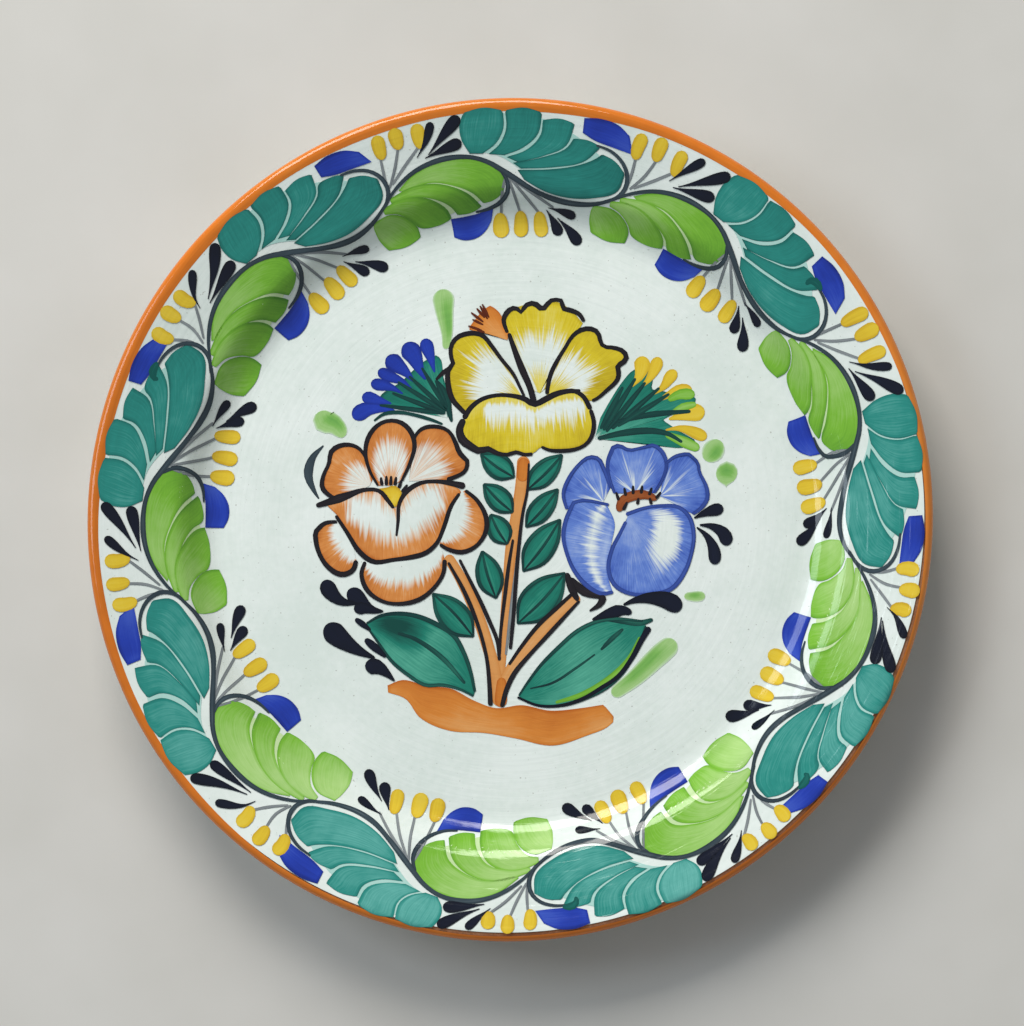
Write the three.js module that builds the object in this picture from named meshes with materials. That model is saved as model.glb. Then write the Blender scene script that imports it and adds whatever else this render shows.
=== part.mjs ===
// A hand painted, tin-glazed earthenware plate, lying on its foot ring.
//
// Millimetres, +Z up. The origin is the centre of the foot ring, on the plane that it stands on.
// The plate is round about Z, so every piece is one profile turned about that axis:
//   clay_body        the fired clay, with the foot ring turned in one piece with it
//   face_glaze       the white glaze on the side that is painted
//   back_glaze       the white glaze on the underside, down the outside of the foot ring
//   foot_well_glaze  the white glaze inside the foot ring
//   rim_band         the coloured coat that is brushed round the lip
// The driving dimensions are those of the finished, glazed plate. The clay lies one coat and
// one seat gap below them wherever it is coated, and bare clay is left under the foot ring.

import * as THREE from "three";

// Overall
const lipRadius = 150; // centre to the outermost edge of the lip
const turnSegments = 48; // facets round every turned piece

// Face
const wellRadius = 104; // flat floor of the well
const wallReach = 16; // how far out the curved wall round the well runs
const wallRise = 9; // how far up it runs
const rimSlope = THREE.MathUtils.degToRad(15); // the rim above the horizontal

// Thickness of the finished plate
const floorThickness = 6.5;
const rimThickness = 5.2; // also the diameter of the rounded lip

// Foot ring
const footHeight = 6; // ground to the underside of the floor
const footOuterRadius = 92;
const footWidth = 8;
const footEdge = 1.2; // chamfer on both edges of the standing face
const footFillet = 3; // where the ring meets the underside
const bareHeight = 2.2; // bare clay above the ground, where the glaze was wiped off

// Coats
const glazeThickness = 0.5;
const seatGap = 0.3; // clearance between a coat and what it lies on or meets
const bandOnFace = 1.5; // coloured band, from the lip's rounding in over the face
const bandOnBack = 1.6; // and in over the underside

// Steps along the curved stretches
const wallSteps = 7;
const lipStepsOver = 4; // from the face to the outermost edge
const lipStepsUnder = 3; // from there to the back
const filletSteps = 3;

const point = (radius, height) => new THREE.Vector2(radius, height);

// The face, from the foot of the wall to where the lip's rounding starts.
const floorTop = footHeight + floorThickness;
const wallTop = point(wellRadius + wallReach, floorTop + wallRise);
const alongRim = point(Math.cos(rimSlope), Math.sin(rimSlope));
const upFromRim = point(-alongRim.y, alongRim.x);
const lipRounding = rimThickness / 2;

function wallCurve() {
  const foot = point(wellRadius, floorTop);
  const handle = wallReach * 0.55;
  return new THREE.CubicBezierCurve(
    foot,
    foot.clone().add(point(handle, 0)),
    wallTop.clone().addScaledVector(alongRim, -handle * 0.6),
    wallTop,
  );
}

// The rim is a straight slope. The lip's half round ends it, and its outermost point is lipRadius.
const lipCentreRadius = lipRadius - lipRounding;
const faceEndRadius = lipCentreRadius + upFromRim.x * lipRounding;
const faceEnd = wallTop
  .clone()
  .addScaledVector(alongRim, (faceEndRadius - wallTop.x) / alongRim.x);
const lipCentre = faceEnd.clone().addScaledVector(upFromRim, -lipRounding);
const lipAt = (angle) =>
  lipCentre
    .clone()
    .addScaledVector(upFromRim, lipRounding * Math.cos(angle))
    .addScaledVector(alongRim, lipRounding * Math.sin(angle));

// Unit normals of an open line, to the left of its direction.
function leftNormals(line) {
  return line.map((_, i) => {
    const before = line[Math.max(i - 1, 0)];
    const after = line[Math.min(i + 1, line.length - 1)];
    const along = after.clone().sub(before).normalize();
    return point(-along.y, along.x);
  });
}

// The line moved to its right, by one distance or by a distance for each of its points.
function sunk(line, distance) {
  const normals = leftNormals(line);
  const depth = Array.isArray(distance) ? distance : line.map(() => distance);
  return line.map((p, i) => p.clone().addScaledVector(normals[i], -depth[i]));
}

const lerp = THREE.MathUtils.lerp;
const arcSteps = (from, to, count) =>
  Array.from({ length: count + 1 }, (_, i) => lerp(from, to, i / count));
const wall = wallCurve().getPoints(wallSteps);
const wallThickness = wall.map((_, i) =>
  lerp(floorThickness, rimThickness, i / wallSteps),
);

// The finished surface in four open lines, each with the clay on its right.
const faceLine = [point(0, floorTop), ...wall, faceEnd];
const outermost = Math.PI / 2 + rimSlope;
const lipLine = [
  ...arcSteps(0, outermost, lipStepsOver),
  ...arcSteps(outermost, Math.PI, lipStepsUnder).slice(1),
].map(lipAt);
const backOfRim = lipLine.at(-1);
const backOfWall = sunk(wall, wallThickness).reverse();
// The fillet ends above the bare foot, so a low foot ring has a smaller one.
const fillet = Math.min(footFillet, footHeight - bareHeight - 2 * seatGap);
const footFilletOut = new THREE.QuadraticBezierCurve(
  point(footOuterRadius + fillet, footHeight),
  point(footOuterRadius, footHeight),
  point(footOuterRadius, footHeight - fillet),
).getPoints(filletSteps);
const backLine = [
  backOfRim,
  ...backOfWall,
  ...footFilletOut,
  point(footOuterRadius, bareHeight),
];
const footInnerRadius = footOuterRadius - footWidth;
const footWellLine = [
  point(footInnerRadius, bareHeight),
  ...new THREE.QuadraticBezierCurve(
    point(footInnerRadius, footHeight - fillet),
    point(footInnerRadius, footHeight),
    point(footInnerRadius - fillet, footHeight),
  ).getPoints(filletSteps),
  point(0, footHeight),
];

// The part of an open line from one distance along it to another, counted from its start.
function stretch(line, from, to = Infinity) {
  const cut = [];
  let walked = 0;
  for (let i = 0; i + 1 < line.length; i++) {
    const step = line[i].distanceTo(line[i + 1]);
    const enters = from >= walked && from < walked + step;
    const leaves = to > walked && to <= walked + step;
    if (enters) cut.push(line[i].clone().lerp(line[i + 1], (from - walked) / step));
    if (walked + step > from && !leaves && walked + step < to) cut.push(line[i + 1].clone());
    if (leaves) cut.push(line[i].clone().lerp(line[i + 1], (to - walked) / step));
    walked += step;
  }
  return cut;
}

const lengthOf = (line) =>
  line.slice(1).reduce((sum, p, i) => sum + p.distanceTo(line[i]), 0);

// A coat as a closed profile: its outer line, then the same line one glaze thickness deeper.
const coat = (line) => [...line, ...sunk(line, glazeThickness).reverse(), line[0].clone()];

// A coat's outer line starts and ends on the axis where it crosses it, so its profile stays there.
function onAxis(profile) {
  return profile.map((p) => (Math.abs(p.x) < 1e-6 ? point(0, p.y) : p));
}

const faceReach = lengthOf(faceLine) - bandOnFace;
const rimBandLine = [
  ...stretch(faceLine, faceReach, lengthOf(faceLine)),
  ...lipLine.slice(1, -1),
  ...stretch(backLine, 0, bandOnBack),
];
const faceGlazeLine = stretch(faceLine, 0, faceReach - seatGap);
const backGlazeLine = stretch(backLine, bandOnBack + seatGap);

// The clay follows the finished surface, one coat and one gap deeper, out to the bare foot.
const skin = glazeThickness + seatGap;
const coatedClay = [...faceLine, ...lipLine.slice(1, -1), ...backLine];
const bareFoot = [
  point(footOuterRadius, bareHeight - seatGap),
  point(footOuterRadius, footEdge),
  point(footOuterRadius - footEdge, 0),
  point(footInnerRadius + footEdge, 0),
  point(footInnerRadius, footEdge),
  point(footInnerRadius, bareHeight - seatGap),
];
const stepIn = (line, end) => {
  const deep = sunk(line, skin);
  const last = end === "last" ? deep.length - 1 : 0;
  deep[last].y = bareHeight - seatGap;
  return deep;
};
const clayProfile = [
  ...stepIn(coatedClay, "last"),
  ...bareFoot,
  ...stepIn(footWellLine, "first"),
];

// A profile that runs with its solid on the right, turned about +Z.
function turned(profile) {
  const solid = new THREE.LatheGeometry([...profile].reverse(), turnSegments);
  return solid.rotateX(Math.PI / 2);
}

function finish(colour, roughness) {
  return new THREE.MeshStandardMaterial({ color: colour, roughness, metalness: 0 });
}

const bareClay = finish(0xb98560, 0.85);
const whiteGlaze = finish(0xe6ebe6, 0.12);
const ochreGlaze = finish(0xd9731f, 0.15);

function piece(name, profile, material) {
  const mesh = new THREE.Mesh(turned(onAxis(profile)), material);
  mesh.name = name;
  return mesh;
}

const plate = new THREE.Group();
plate.add(
  piece("clay_body", clayProfile, bareClay),
  piece("face_glaze", coat(faceGlazeLine), whiteGlaze),
  piece("back_glaze", coat(backGlazeLine), whiteGlaze),
  piece("foot_well_glaze", coat(footWellLine), whiteGlaze),
  piece("rim_band", coat(rimBandLine), ochreGlaze),
);

export default plate;
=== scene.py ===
# %% [markdown]
# # A hand painted, tin-glazed plate
# The plate is one piece of fired earthenware. Such a plate is coated in a white glaze made opaque
# with tin oxide, painted by hand on the raw glaze with metal oxides, and fired again.
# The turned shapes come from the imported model, so this notebook starts by loading that model as
# a frame and never moves it. Everything below is laid on it, in metres, +Z up.

# %% Load the frame
import math
import random

import bmesh
import bpy
from mathutils import Matrix, Vector
from mathutils.geometry import interpolate_bezier


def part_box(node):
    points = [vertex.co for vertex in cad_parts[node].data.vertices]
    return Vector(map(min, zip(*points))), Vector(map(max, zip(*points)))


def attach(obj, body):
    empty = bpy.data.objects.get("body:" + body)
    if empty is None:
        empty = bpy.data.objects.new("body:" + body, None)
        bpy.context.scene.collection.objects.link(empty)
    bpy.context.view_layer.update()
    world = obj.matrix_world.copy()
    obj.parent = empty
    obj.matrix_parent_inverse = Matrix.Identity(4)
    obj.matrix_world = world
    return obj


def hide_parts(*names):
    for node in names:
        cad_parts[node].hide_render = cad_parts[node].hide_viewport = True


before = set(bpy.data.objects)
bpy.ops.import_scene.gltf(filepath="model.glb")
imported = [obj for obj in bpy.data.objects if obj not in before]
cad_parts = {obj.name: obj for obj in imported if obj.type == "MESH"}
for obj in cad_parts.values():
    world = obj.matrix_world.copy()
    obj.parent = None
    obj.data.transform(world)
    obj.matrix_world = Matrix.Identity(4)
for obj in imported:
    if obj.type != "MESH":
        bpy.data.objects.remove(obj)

MM = 0.001
hand = random.Random(11)  # the painter's hand: the same small slips each time it runs
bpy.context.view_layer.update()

# %% [markdown]
# ## Where the eye stands
# The camera comes before the model, because it decides how fine each shape has to be. The eye is
# three metres from the lip, nearly square on to it. It leans 7.5 degrees over the lower right of
# the painting, and so it looks into the well's upper left wall a little. From that far, through
# a lens of about 300 mm, the near and the far side of the lip look the same size. Blender aims a
# camera along its own -Z, so its Z is the line from the plate to the eye. Its X is square to that
# and to the plate's Y, which keeps the painting upright.

# %% Camera
LIP_RADIUS = 150 * MM
LIP_ROUNDING = 2.55 * MM  # half the thickness of the rounded lip
EYE_DISTANCE = 3.0
EYE_LEAN = math.radians(7.5)
EYE_SIDE = math.radians(143)  # clockwise from the top of the painting
SENSOR = 36.0
LIP_IN_FRAME = 424 / 1026  # the lip's radius as a share of the picture's height
lip_low, lip_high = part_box("rim_band")
lip_centre = Vector((0, 0, lip_high.z - LIP_ROUNDING))
to_eye = Vector((
    math.sin(EYE_LEAN) * math.sin(EYE_SIDE),
    math.sin(EYE_LEAN) * math.cos(EYE_SIDE),
    math.cos(EYE_LEAN),
))
camera = bpy.data.objects.new("camera", bpy.data.cameras.new("camera"))
bpy.context.scene.collection.objects.link(camera)
camera.location = lip_centre + EYE_DISTANCE * to_eye
right = Vector((0, 1, 0)).cross(to_eye).normalized()
aim = Matrix((right, to_eye.cross(right), to_eye)).transposed()
camera.rotation_euler = aim.to_euler()
camera.data.lens = SENSOR * LIP_IN_FRAME * EYE_DISTANCE / LIP_RADIUS
camera.data.sensor_width = SENSOR
camera.data.shift_x = 0.0033  # the plate sits a touch left of the middle of the picture
camera.data.shift_y = 0.0044  # and a touch below it
bpy.context.scene.camera = camera
print("lens", round(camera.data.lens, 1), "mm")

# %% [markdown]
# ## Reading a turned section
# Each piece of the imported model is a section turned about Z. To make a finer copy of it, we want
# that section back as a line of (radius, height) corners. A copy of the mesh is merged, the
# corners on the XZ half plane are picked out, and we walk along the edges between them. The walk
# is turned so that it always runs anticlockwise, and a full disc starts at its lower pole.

# %% Section of a turned piece


def section(node):
    """The corners of a turned piece's section, in millimetres, anticlockwise."""
    copy = bmesh.new()
    copy.from_mesh(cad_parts[node].data)
    bmesh.ops.remove_doubles(copy, verts=copy.verts, dist=1e-6)
    on_plane = [v for v in copy.verts if abs(v.co.y) < 2e-6 and v.co.x > -1e-6]
    beside = {
        v: [e.other_vert(v) for e in v.link_edges if e.other_vert(v) in on_plane]
        for v in on_plane
    }
    walk = [min(on_plane, key=lambda v: (len(beside[v]), v.co.z))]
    while ahead := [v for v in beside[walk[-1]] if v not in walk]:
        walk.append(ahead[0])
    corners = [Vector((v.co.x, v.co.z)) / MM for v in walk]
    copy.free()
    area = sum(a.cross(b) for a, b in zip(corners, corners[1:] + corners[:1]))
    return corners if area > 0 else corners[::-1]


sections = {node: section(node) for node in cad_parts}
for node, corners in sections.items():
    print(node, "has a section of", len(corners), "corners")

# %% [markdown]
# ## Smooth lines through a few points
# Clay and brushes make smooth lines, and we only want to place the few points that give a line
# its shape. Between each two points runs a Bezier curve. Its handles lie along the direction from
# one neighbour to the next, a third of the distance long, which is what an editor's automatic
# handles do. Where the line turns sharply there is a real corner, and the handles follow the two
# sides instead. Then the line is cut into even steps, because even steps make even meshes.

# %% Smooth lines
CORNER = math.radians(55)  # a sharper turn than this is a real corner
BEND_POINTS = 13


def smooth(points, step=0.9, before=None, after=None):
    """Even steps along a smooth line through points. before and after only steer its two ends."""
    knots = [Vector(p) for p in points]
    guides = [
        Vector(before) if before else knots[0], *knots, Vector(after) if after else knots[-1]
    ]
    line = []
    for i in range(1, len(guides) - 2):
        start, end = guides[i], guides[i + 1]
        span = end - start
        into, out = start - guides[i - 1], guides[i + 2] - end
        lead = span.normalized()
        tail = lead.copy()
        if into.length > 1e-6 and into.angle(span) < CORNER:
            lead = (into.normalized() + span.normalized()).normalized()
        if out.length > 1e-6 and out.angle(span) < CORNER:
            tail = (out.normalized() + span.normalized()).normalized()
        reach = span.length / 3
        handles = start + lead * reach, end - tail * reach
        line += interpolate_bezier(start, *handles, end, BEND_POINTS)[:-1]
    line.append(knots[-1])
    return spaced(line, max(2, round(length_of(line) / step)))


def length_of(line):
    return sum((b - a).length for a, b in zip(line, line[1:]))


def spaced(line, pieces, share_at=lambda k: k):
    """The line again as that many pieces. share_at gives each cut's share of the length."""
    lengths = [0.0]
    for a, b in zip(line, line[1:]):
        lengths.append(lengths[-1] + (b - a).length)
    cuts = []
    i = 0
    for k in range(pieces + 1):
        walked = share_at(k / pieces) * lengths[-1]
        while i < len(line) - 2 and lengths[i + 1] < walked:
            i += 1
        part = (walked - lengths[i]) / max(lengths[i + 1] - lengths[i], 1e-9)
        cuts.append(line[i].lerp(line[i + 1], min(max(part, 0.0), 1.0)))
    return cuts


print("a turn sharper than", round(math.degrees(CORNER)), "degrees stays a corner")

# %% [markdown]
# ## The face's height
# Every brush mark has to lie on the face, so we need the face's height at any radius. It is the
# upper line of the white glaze, carried on over the coloured lip. A long straight stretch gets a
# point near each of its ends first, so that the smoothing rounds only the bends and leaves the
# floor of the well flat. Real plates also move a little in the kiln. A slight warp of the rim,
# a few tenths of a millimetre, is added to everything, and it dies out over the foot ring.

# %% Height and warp of the face
EASE = 2.5  # mm of each straight stretch, beside a bend, that may round off


def eased(corners):
    """The corners, with a point near each end of every long straight stretch."""
    out = [corners[0]]
    for a, b in zip(corners, corners[1:]):
        if (b - a).length > 4 * EASE:
            along = (b - a).normalized() * EASE
            out += [a + along, b - along]
        out.append(b)
    return out


def upper_line(corners, last):
    """The section's top line, from its innermost corner out to the corner last."""
    inner = max((p for p in corners if p.x < min(c.x for c in corners) + 0.3), key=lambda p: p.y)
    start = corners.index(inner)
    backwards = [corners[(start - k) % len(corners)] for k in range(len(corners))]
    return backwards[: backwards.index(last) + 1]


glaze_section, band_section = sections["face_glaze"], sections["rim_band"]
glaze_top = upper_line(glaze_section, max(glaze_section, key=lambda p: p.y))
over_lip = upper_line(band_section, min(band_section, key=lambda p: p.y))
whole_line = smooth(eased(glaze_top + over_lip), step=0.35)
outermost = max(range(len(whole_line)), key=lambda i: whole_line[i].x)
face_line = whole_line[: outermost + 1]
WARP_FROM, WARP_TO = 95.0, 150.0


def face_height(radius):
    """Height of the face in millimetres, without the warp."""
    low, high = 0, len(face_line) - 1
    while high - low > 1:
        middle = (low + high) // 2
        if face_line[middle].x <= radius:
            low = middle
        else:
            high = middle
    a, b = face_line[low], face_line[high]
    return a.y + (b.y - a.y) * min(max((radius - a.x) / max(b.x - a.x, 1e-6), 0.0), 1.0)


def warp(x, y):
    """How far the kiln has lifted the plate at a place, in millimetres."""
    out = min(max((math.hypot(x, y) - WARP_FROM) / (WARP_TO - WARP_FROM), 0.0), 1.0)
    turn = math.atan2(y, x)
    return out * out * (0.22 * math.sin(2 * turn + 0.6) + 0.12 * math.sin(3 * turn + 2.0))


def on_face(spot, lift):
    """A place on the plate's face, lift millimetres proud of it, in metres."""
    height = face_height(math.hypot(spot.x, spot.y)) + warp(spot.x, spot.y) + lift
    return Vector((spot.x, spot.y, height)) * MM


print("well floor", round(face_height(0), 2), "mm, rim at 140 mm", round(face_height(140), 2), "mm")

# %% [markdown]
# ## Colours and nodes
# Two small helpers keep the materials short. Colours are written as the sRGB codes that a paint
# chart gives, and one function turns them into the linear values that shaders work in. The other
# adds a node, sets it up and links it, whatever kind of node it is.

# %% Colour and node helpers


def linear(code):
    """An sRGB code such as #3f877b as linear RGBA."""
    shares = [int(code[i : i + 2], 16) / 255 for i in (1, 3, 5)]
    return [*(c / 12.92 if c <= 0.04045 else ((c + 0.055) / 1.055) ** 2.4 for c in shares), 1.0]


def add(tree, kind, inputs=None, **settings):
    """Adds a node. An input that is given a socket is linked to it, any other is set."""
    made = tree.nodes.new(kind)
    for key, value in settings.items():
        setattr(made, key, value)
    for key, value in (inputs or {}).items():
        if isinstance(value, bpy.types.NodeSocket):
            tree.links.new(value, made.inputs[key])
        else:
            made.inputs[key].default_value = value
    return made


def noise(tree, place, size_mm, detail=2.0, stretch=(1, 1, 1)):
    """A cloudy pattern on metres, with lumps of about size_mm, drawn out by stretch."""
    scaled = add(tree, "ShaderNodeMapping", {"Vector": place, "Scale": stretch})
    return add(
        tree, "ShaderNodeTexNoise",
        {"Vector": scaled.outputs[0], "Scale": 1 / (size_mm * MM), "Detail": detail},
    ).outputs["Fac"]


def blend(tree, share, one, other):
    """A colour between two, each a colour or a socket."""
    mix = add(tree, "ShaderNodeMix", {0: share, 6: one, 7: other}, data_type="RGBA")
    return mix.outputs[2]


def remap(tree, value, low, high, to_low=0.0, to_high=1.0):
    ranged = add(
        tree, "ShaderNodeMapRange",
        {"Value": value, "From Min": low, "From Max": high, "To Min": to_low, "To Max": to_high},
    )
    return ranged.outputs[0]


def sums(tree, base, *parts):
    """base + weight * (pattern - 0.5), for each (weight, pattern)."""
    for weight, pattern in parts:
        step = add(tree, "ShaderNodeMath", {0: pattern, 1: weight, 2: -weight / 2},
                   operation="MULTIPLY_ADD")
        base = add(tree, "ShaderNodeMath", {0: base, 1: step.outputs[0]}).outputs[0]
    return base


print("a middle grey of #808080 is", round(linear("#808080")[0], 3), "to a shader")

# %% [markdown]
# ## The tin glaze
# Tin glaze is an opaque white glass about half a millimetre thick. Its colour is a cold white
# that drifts slightly where it lies thick or thin, and it carries a few tiny specks. Its surface
# is given long shallow rings, as on a thrown pot, and a soft orange peel, and these break up the
# highlight on the wall of the well. The paint melts into this glass in
# the kiln and shares its gloss. So the gloss is made once here, and every pigment uses it too.

# %% Glaze surface shared by the white and by every pigment


def place_of(tree):
    return add(tree, "ShaderNodeTexCoord").outputs["Object"]


def tin_white(tree):
    """The white of the tin glaze, with its drift and specks."""
    place = place_of(tree)
    drift = noise(tree, place, 26)
    mottle = noise(tree, place, 2.4, detail=3)
    tone = remap(tree, sums(tree, drift, (0.5, mottle)), 0.3, 0.7)
    white = blend(tree, tone, linear("#e6f0ea"), linear("#f3faf6"))
    specks = remap(tree, noise(tree, place, 0.9, detail=0), 0.795, 0.84, 0.0, 0.45)
    return blend(tree, specks, white, linear("#8f8b80"))


GLOSS = (0.07, 0.13)  # roughness, from the wettest patches to the dullest
GLASS_IOR = 1.52


def glossy(tree, colour):
    """Finishes a material as fired glass of that colour."""
    place = place_of(tree)
    rings_at = add(tree, "ShaderNodeSeparateXYZ", {0: place}).outputs
    flat = add(tree, "ShaderNodeCombineXYZ", {0: rings_at[0], 1: rings_at[1]}).outputs[0]
    radius = add(tree, "ShaderNodeVectorMath", {0: flat}, operation="LENGTH").outputs["Value"]
    ring_place = add(
        tree, "ShaderNodeCombineXYZ", {0: radius, 1: rings_at[0], 2: rings_at[1]}
    ).outputs[0]
    rings = noise(tree, ring_place, 1.5, detail=2, stretch=(1, 0.05, 0.05))
    peel = noise(tree, place, 5.5, detail=1)
    height = sums(tree, rings, (0.55, peel))
    bump = add(
        tree, "ShaderNodeBump", {"Height": height, "Strength": 1.0, "Distance": 0.1 * MM}
    )
    rough = remap(tree, noise(tree, place, 7), 0.3, 0.7, *GLOSS)
    shader = add(
        tree, "ShaderNodeBsdfPrincipled",
        {"Base Color": colour, "Roughness": rough, "IOR": GLASS_IOR, "Normal": bump.outputs[0]},
    )
    add(tree, "ShaderNodeOutputMaterial", {"Surface": shader.outputs[0]})


def new_material(name):
    made = bpy.data.materials.new(name)
    made.use_nodes = True
    made.node_tree.nodes.clear()
    return made


def tin_glaze_finish():
    """Tin glaze: an opaque, cool white glass with a wet shine."""
    made = new_material("tin_glaze")
    glossy(made.node_tree, tin_white(made.node_tree))
    return made


def bare_clay_finish():
    """Fired earthenware: matt and warm, with fine grit, where the glaze was wiped off."""
    made = new_material("biscuit_earthenware")
    tree = made.node_tree
    place = place_of(tree)
    grit = noise(tree, place, 0.8, detail=4)
    cloud = noise(tree, place, 14)
    tone = remap(tree, sums(tree, cloud, (0.8, grit)), 0.25, 0.75)
    colour = blend(tree, tone, linear("#a9744e"), linear("#cf9f78"))
    bump = add(tree, "ShaderNodeBump", {"Height": grit, "Strength": 0.6, "Distance": 0.15 * MM})
    shader = add(
        tree, "ShaderNodeBsdfPrincipled",
        {
            "Base Color": colour,
            "Roughness": remap(tree, grit, 0.3, 0.7, 0.78, 0.92),
            "Normal": bump.outputs[0],
        },
    )
    add(tree, "ShaderNodeOutputMaterial", {"Surface": shader.outputs[0]})
    return made


TIN_GLAZE = tin_glaze_finish()
BARE_CLAY = bare_clay_finish()
print("made", TIN_GLAZE.name, "and", BARE_CLAY.name)

# %% [markdown]
# ## Pigments
# A majolica brush carries thin, watery oxide. Where the mark is wet it dries darker along its
# edge, the hairs leave streaks along the stroke, and where the brush runs dry the white shows
# through in ragged fingers. Three numbers painted on each mark say where that happens: how much
# of the white is covered, how heavy the load of pigment is, and how near the edge we are. The
# material breaks the first two up with a noise that is drawn out along the brush's own path,
# which the marks carry as a UV map in millimetres.

# %% Pigment material
STREAK_WIDTH = 0.55  # mm between the marks of two tufts of hair


def pigment(name, wash, body, deep, ragged=0.85, streaky=0.34, cloudy=0.22, pooled=0.3,
            soft=0.09):
    """Brushed oxide from its palest wash to its heaviest load, fired into the glaze."""
    made = new_material(name)
    tree = made.node_tree
    numbers = add(tree, "ShaderNodeAttribute", attribute_name="paint").outputs["Color"]
    covered, load, edge = add(tree, "ShaderNodeSeparateColor", {0: numbers}).outputs[:3]
    path = add(tree, "ShaderNodeUVMap", uv_map="brush").outputs[0]
    streak = noise(tree, path, STREAK_WIDTH, detail=2, stretch=(0.055, 1, 1))
    finger = noise(tree, path, STREAK_WIDTH * 2.2, detail=1, stretch=(0.05, 1, 1))
    cloud = noise(tree, place_of(tree), 5, detail=3)
    tone = sums(tree, load, (streaky, streak), (cloudy, cloud))
    heavy_edge = add(tree, "ShaderNodeMath", {0: edge, 1: pooled, 2: tone},
                     operation="MULTIPLY_ADD")
    ramp = add(tree, "ShaderNodeValToRGB", {0: heavy_edge.outputs[0]})
    ramp.color_ramp.elements[0].color = linear(wash)
    ramp.color_ramp.elements[1].color = linear(deep)
    ramp.color_ramp.elements.new(0.5).color = linear(body)
    limit = sums(tree, covered, (ragged, finger), (ragged * 0.35, streak))
    share = remap(tree, limit, 0.49 - soft, 0.49 + soft)
    glossy(tree, blend(tree, share, tin_white(tree), ramp.outputs[0]))
    return made


# Copper on its own fires to a blue green, and with antimony to a leaf green.
COPPER_TEAL = pigment("copper_teal", "#86d4ca", "#2c9187", "#0b5b55")
TEAL_TINT = pigment("pale_teal_wash", "#b9e0d8", "#9fd2c8", "#7fbfb2", streaky=0.2, pooled=0.0)
GREEN_TINT = pigment("pale_green_wash", "#d3ebb4", "#bfe19a", "#a5d078", streaky=0.2, pooled=0.0)
LEAF_GREEN = pigment("leaf_green", "#bfe393", "#80bf3a", "#498a24")
SOFT_GREEN = pigment("soft_green_wash", "#b9dc97", "#84be5e", "#4f9a44", ragged=0.3,
                     pooled=0.0, soft=0.3)
DARK_GREEN = pigment("dark_copper_green", "#2c7a68", "#134a44", "#0a2a2e", streaky=0.6)
LEAF_TEAL = pigment("bouquet_leaf_teal", "#63bda3", "#1e8370", "#0b4a42", streaky=0.5)
# Cobalt is the strongest of them, and a wash of it still reads as blue.
COBALT = pigment("cobalt_blue", "#4a68cf", "#2440b4", "#14257c")
FLOWER_BLUE = pigment("washed_cobalt", "#b4c8f0", "#6a8bdc", "#2d4eb4", streaky=0.7, cloudy=0.7,
                      soft=0.2)
BLUE_INK = pigment("blue_ink", "#6d88cf", "#3c57ac", "#22347a", streaky=0.7)
# Antimony yellow pools to a mustard. Iron with antimony gives the orange of the lip.
ANTIMONY = pigment("antimony_yellow", "#f6e06a", "#ecca36", "#c79a1a")
ORANGE = pigment("iron_orange", "#f3ba78", "#e08a38", "#bf6118")
PETAL_YELLOW = pigment("petal_yellow", "#f3e88a", "#e2cb2c", "#b3971a", ragged=1.15, streaky=0.6,
                       cloudy=0.4, soft=0.16)
PETAL_ORANGE = pigment("petal_orange", "#f6cfa2", "#e2924b", "#b85f18", ragged=1.0, streaky=0.6,
                       cloudy=0.6, soft=0.24)
STEM_WASH = pigment("stem_wash", "#f2c493", "#e4a05c", "#cf7d33")
ORANGE_INK = pigment("orange_ink", "#c05a22", "#8a3a14", "#5b220c")
HEART_BROWN = pigment("heart_brown", "#c88a55", "#9c4f22", "#55230f")
LIP_ORANGE = pigment("lip_orange", "#ee9a46", "#df7a22", "#b65f18", pooled=0.1, streaky=0.3)
# Manganese with cobalt makes the outlining ink, and a wash of it the grey of the stems.
INK = pigment("manganese_ink", "#4a4148", "#211c22", "#100f16", streaky=0.5)
NAVY_INK = pigment("navy_ink", "#28304a", "#10162b", "#080b18")
VINE_INK = pigment("vine_ink", "#7e8c93", "#3d4c55", "#1e2a33", streaky=0.6)
GREY_WASH = pigment("grey_wash", "#c2c6c7", "#989ea1", "#62696e", streaky=0.5)
print("mixed", len(bpy.data.materials), "finishes")

# %% [markdown]
# ## Turning the coats again
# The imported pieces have 48 facets round, which is plenty for a physics model and too few for
# the eye. Each is turned again: its section is smoothed, drawn as one chain of edges and spun
# with the same operator that a modeller would use. A spin takes longer the more it has already
# made, so it turns a quarter, and then three more quarters are spun as copies. Both leave doubled
# points, on the axis and at the seams, and those are merged before the normals are worked out.

# %% Turning a section
TURN_STEPS = 288
GROUND_FLAT = 8 * MM  # the foot stands flat, so the warp fades out below this height
CREASE = math.radians(38)


def fine_section(corners, closed):
    """The section's corners, with its bends smoothed and its sharp corners kept."""
    ring = corners + corners[:1] if closed else corners
    fine = []
    knots = eased(ring)
    for i in range(len(knots) - 1):
        before = knots[i - 1] if i else None
        after = knots[i + 2] if i + 2 < len(knots) else None
        straight = (knots[i + 1] - knots[i]).length > 4 * EASE
        part = smooth(knots[i : i + 2], 6.0 if straight else 0.6, before, after)
        fine += part[:-1]
    lowest = min(p.y for p in corners)
    for p in fine:  # a curve may swing a little past the flat that the foot stands on
        p.y = max(p.y, lowest)
    return fine if closed else fine + [knots[-1]]


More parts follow.
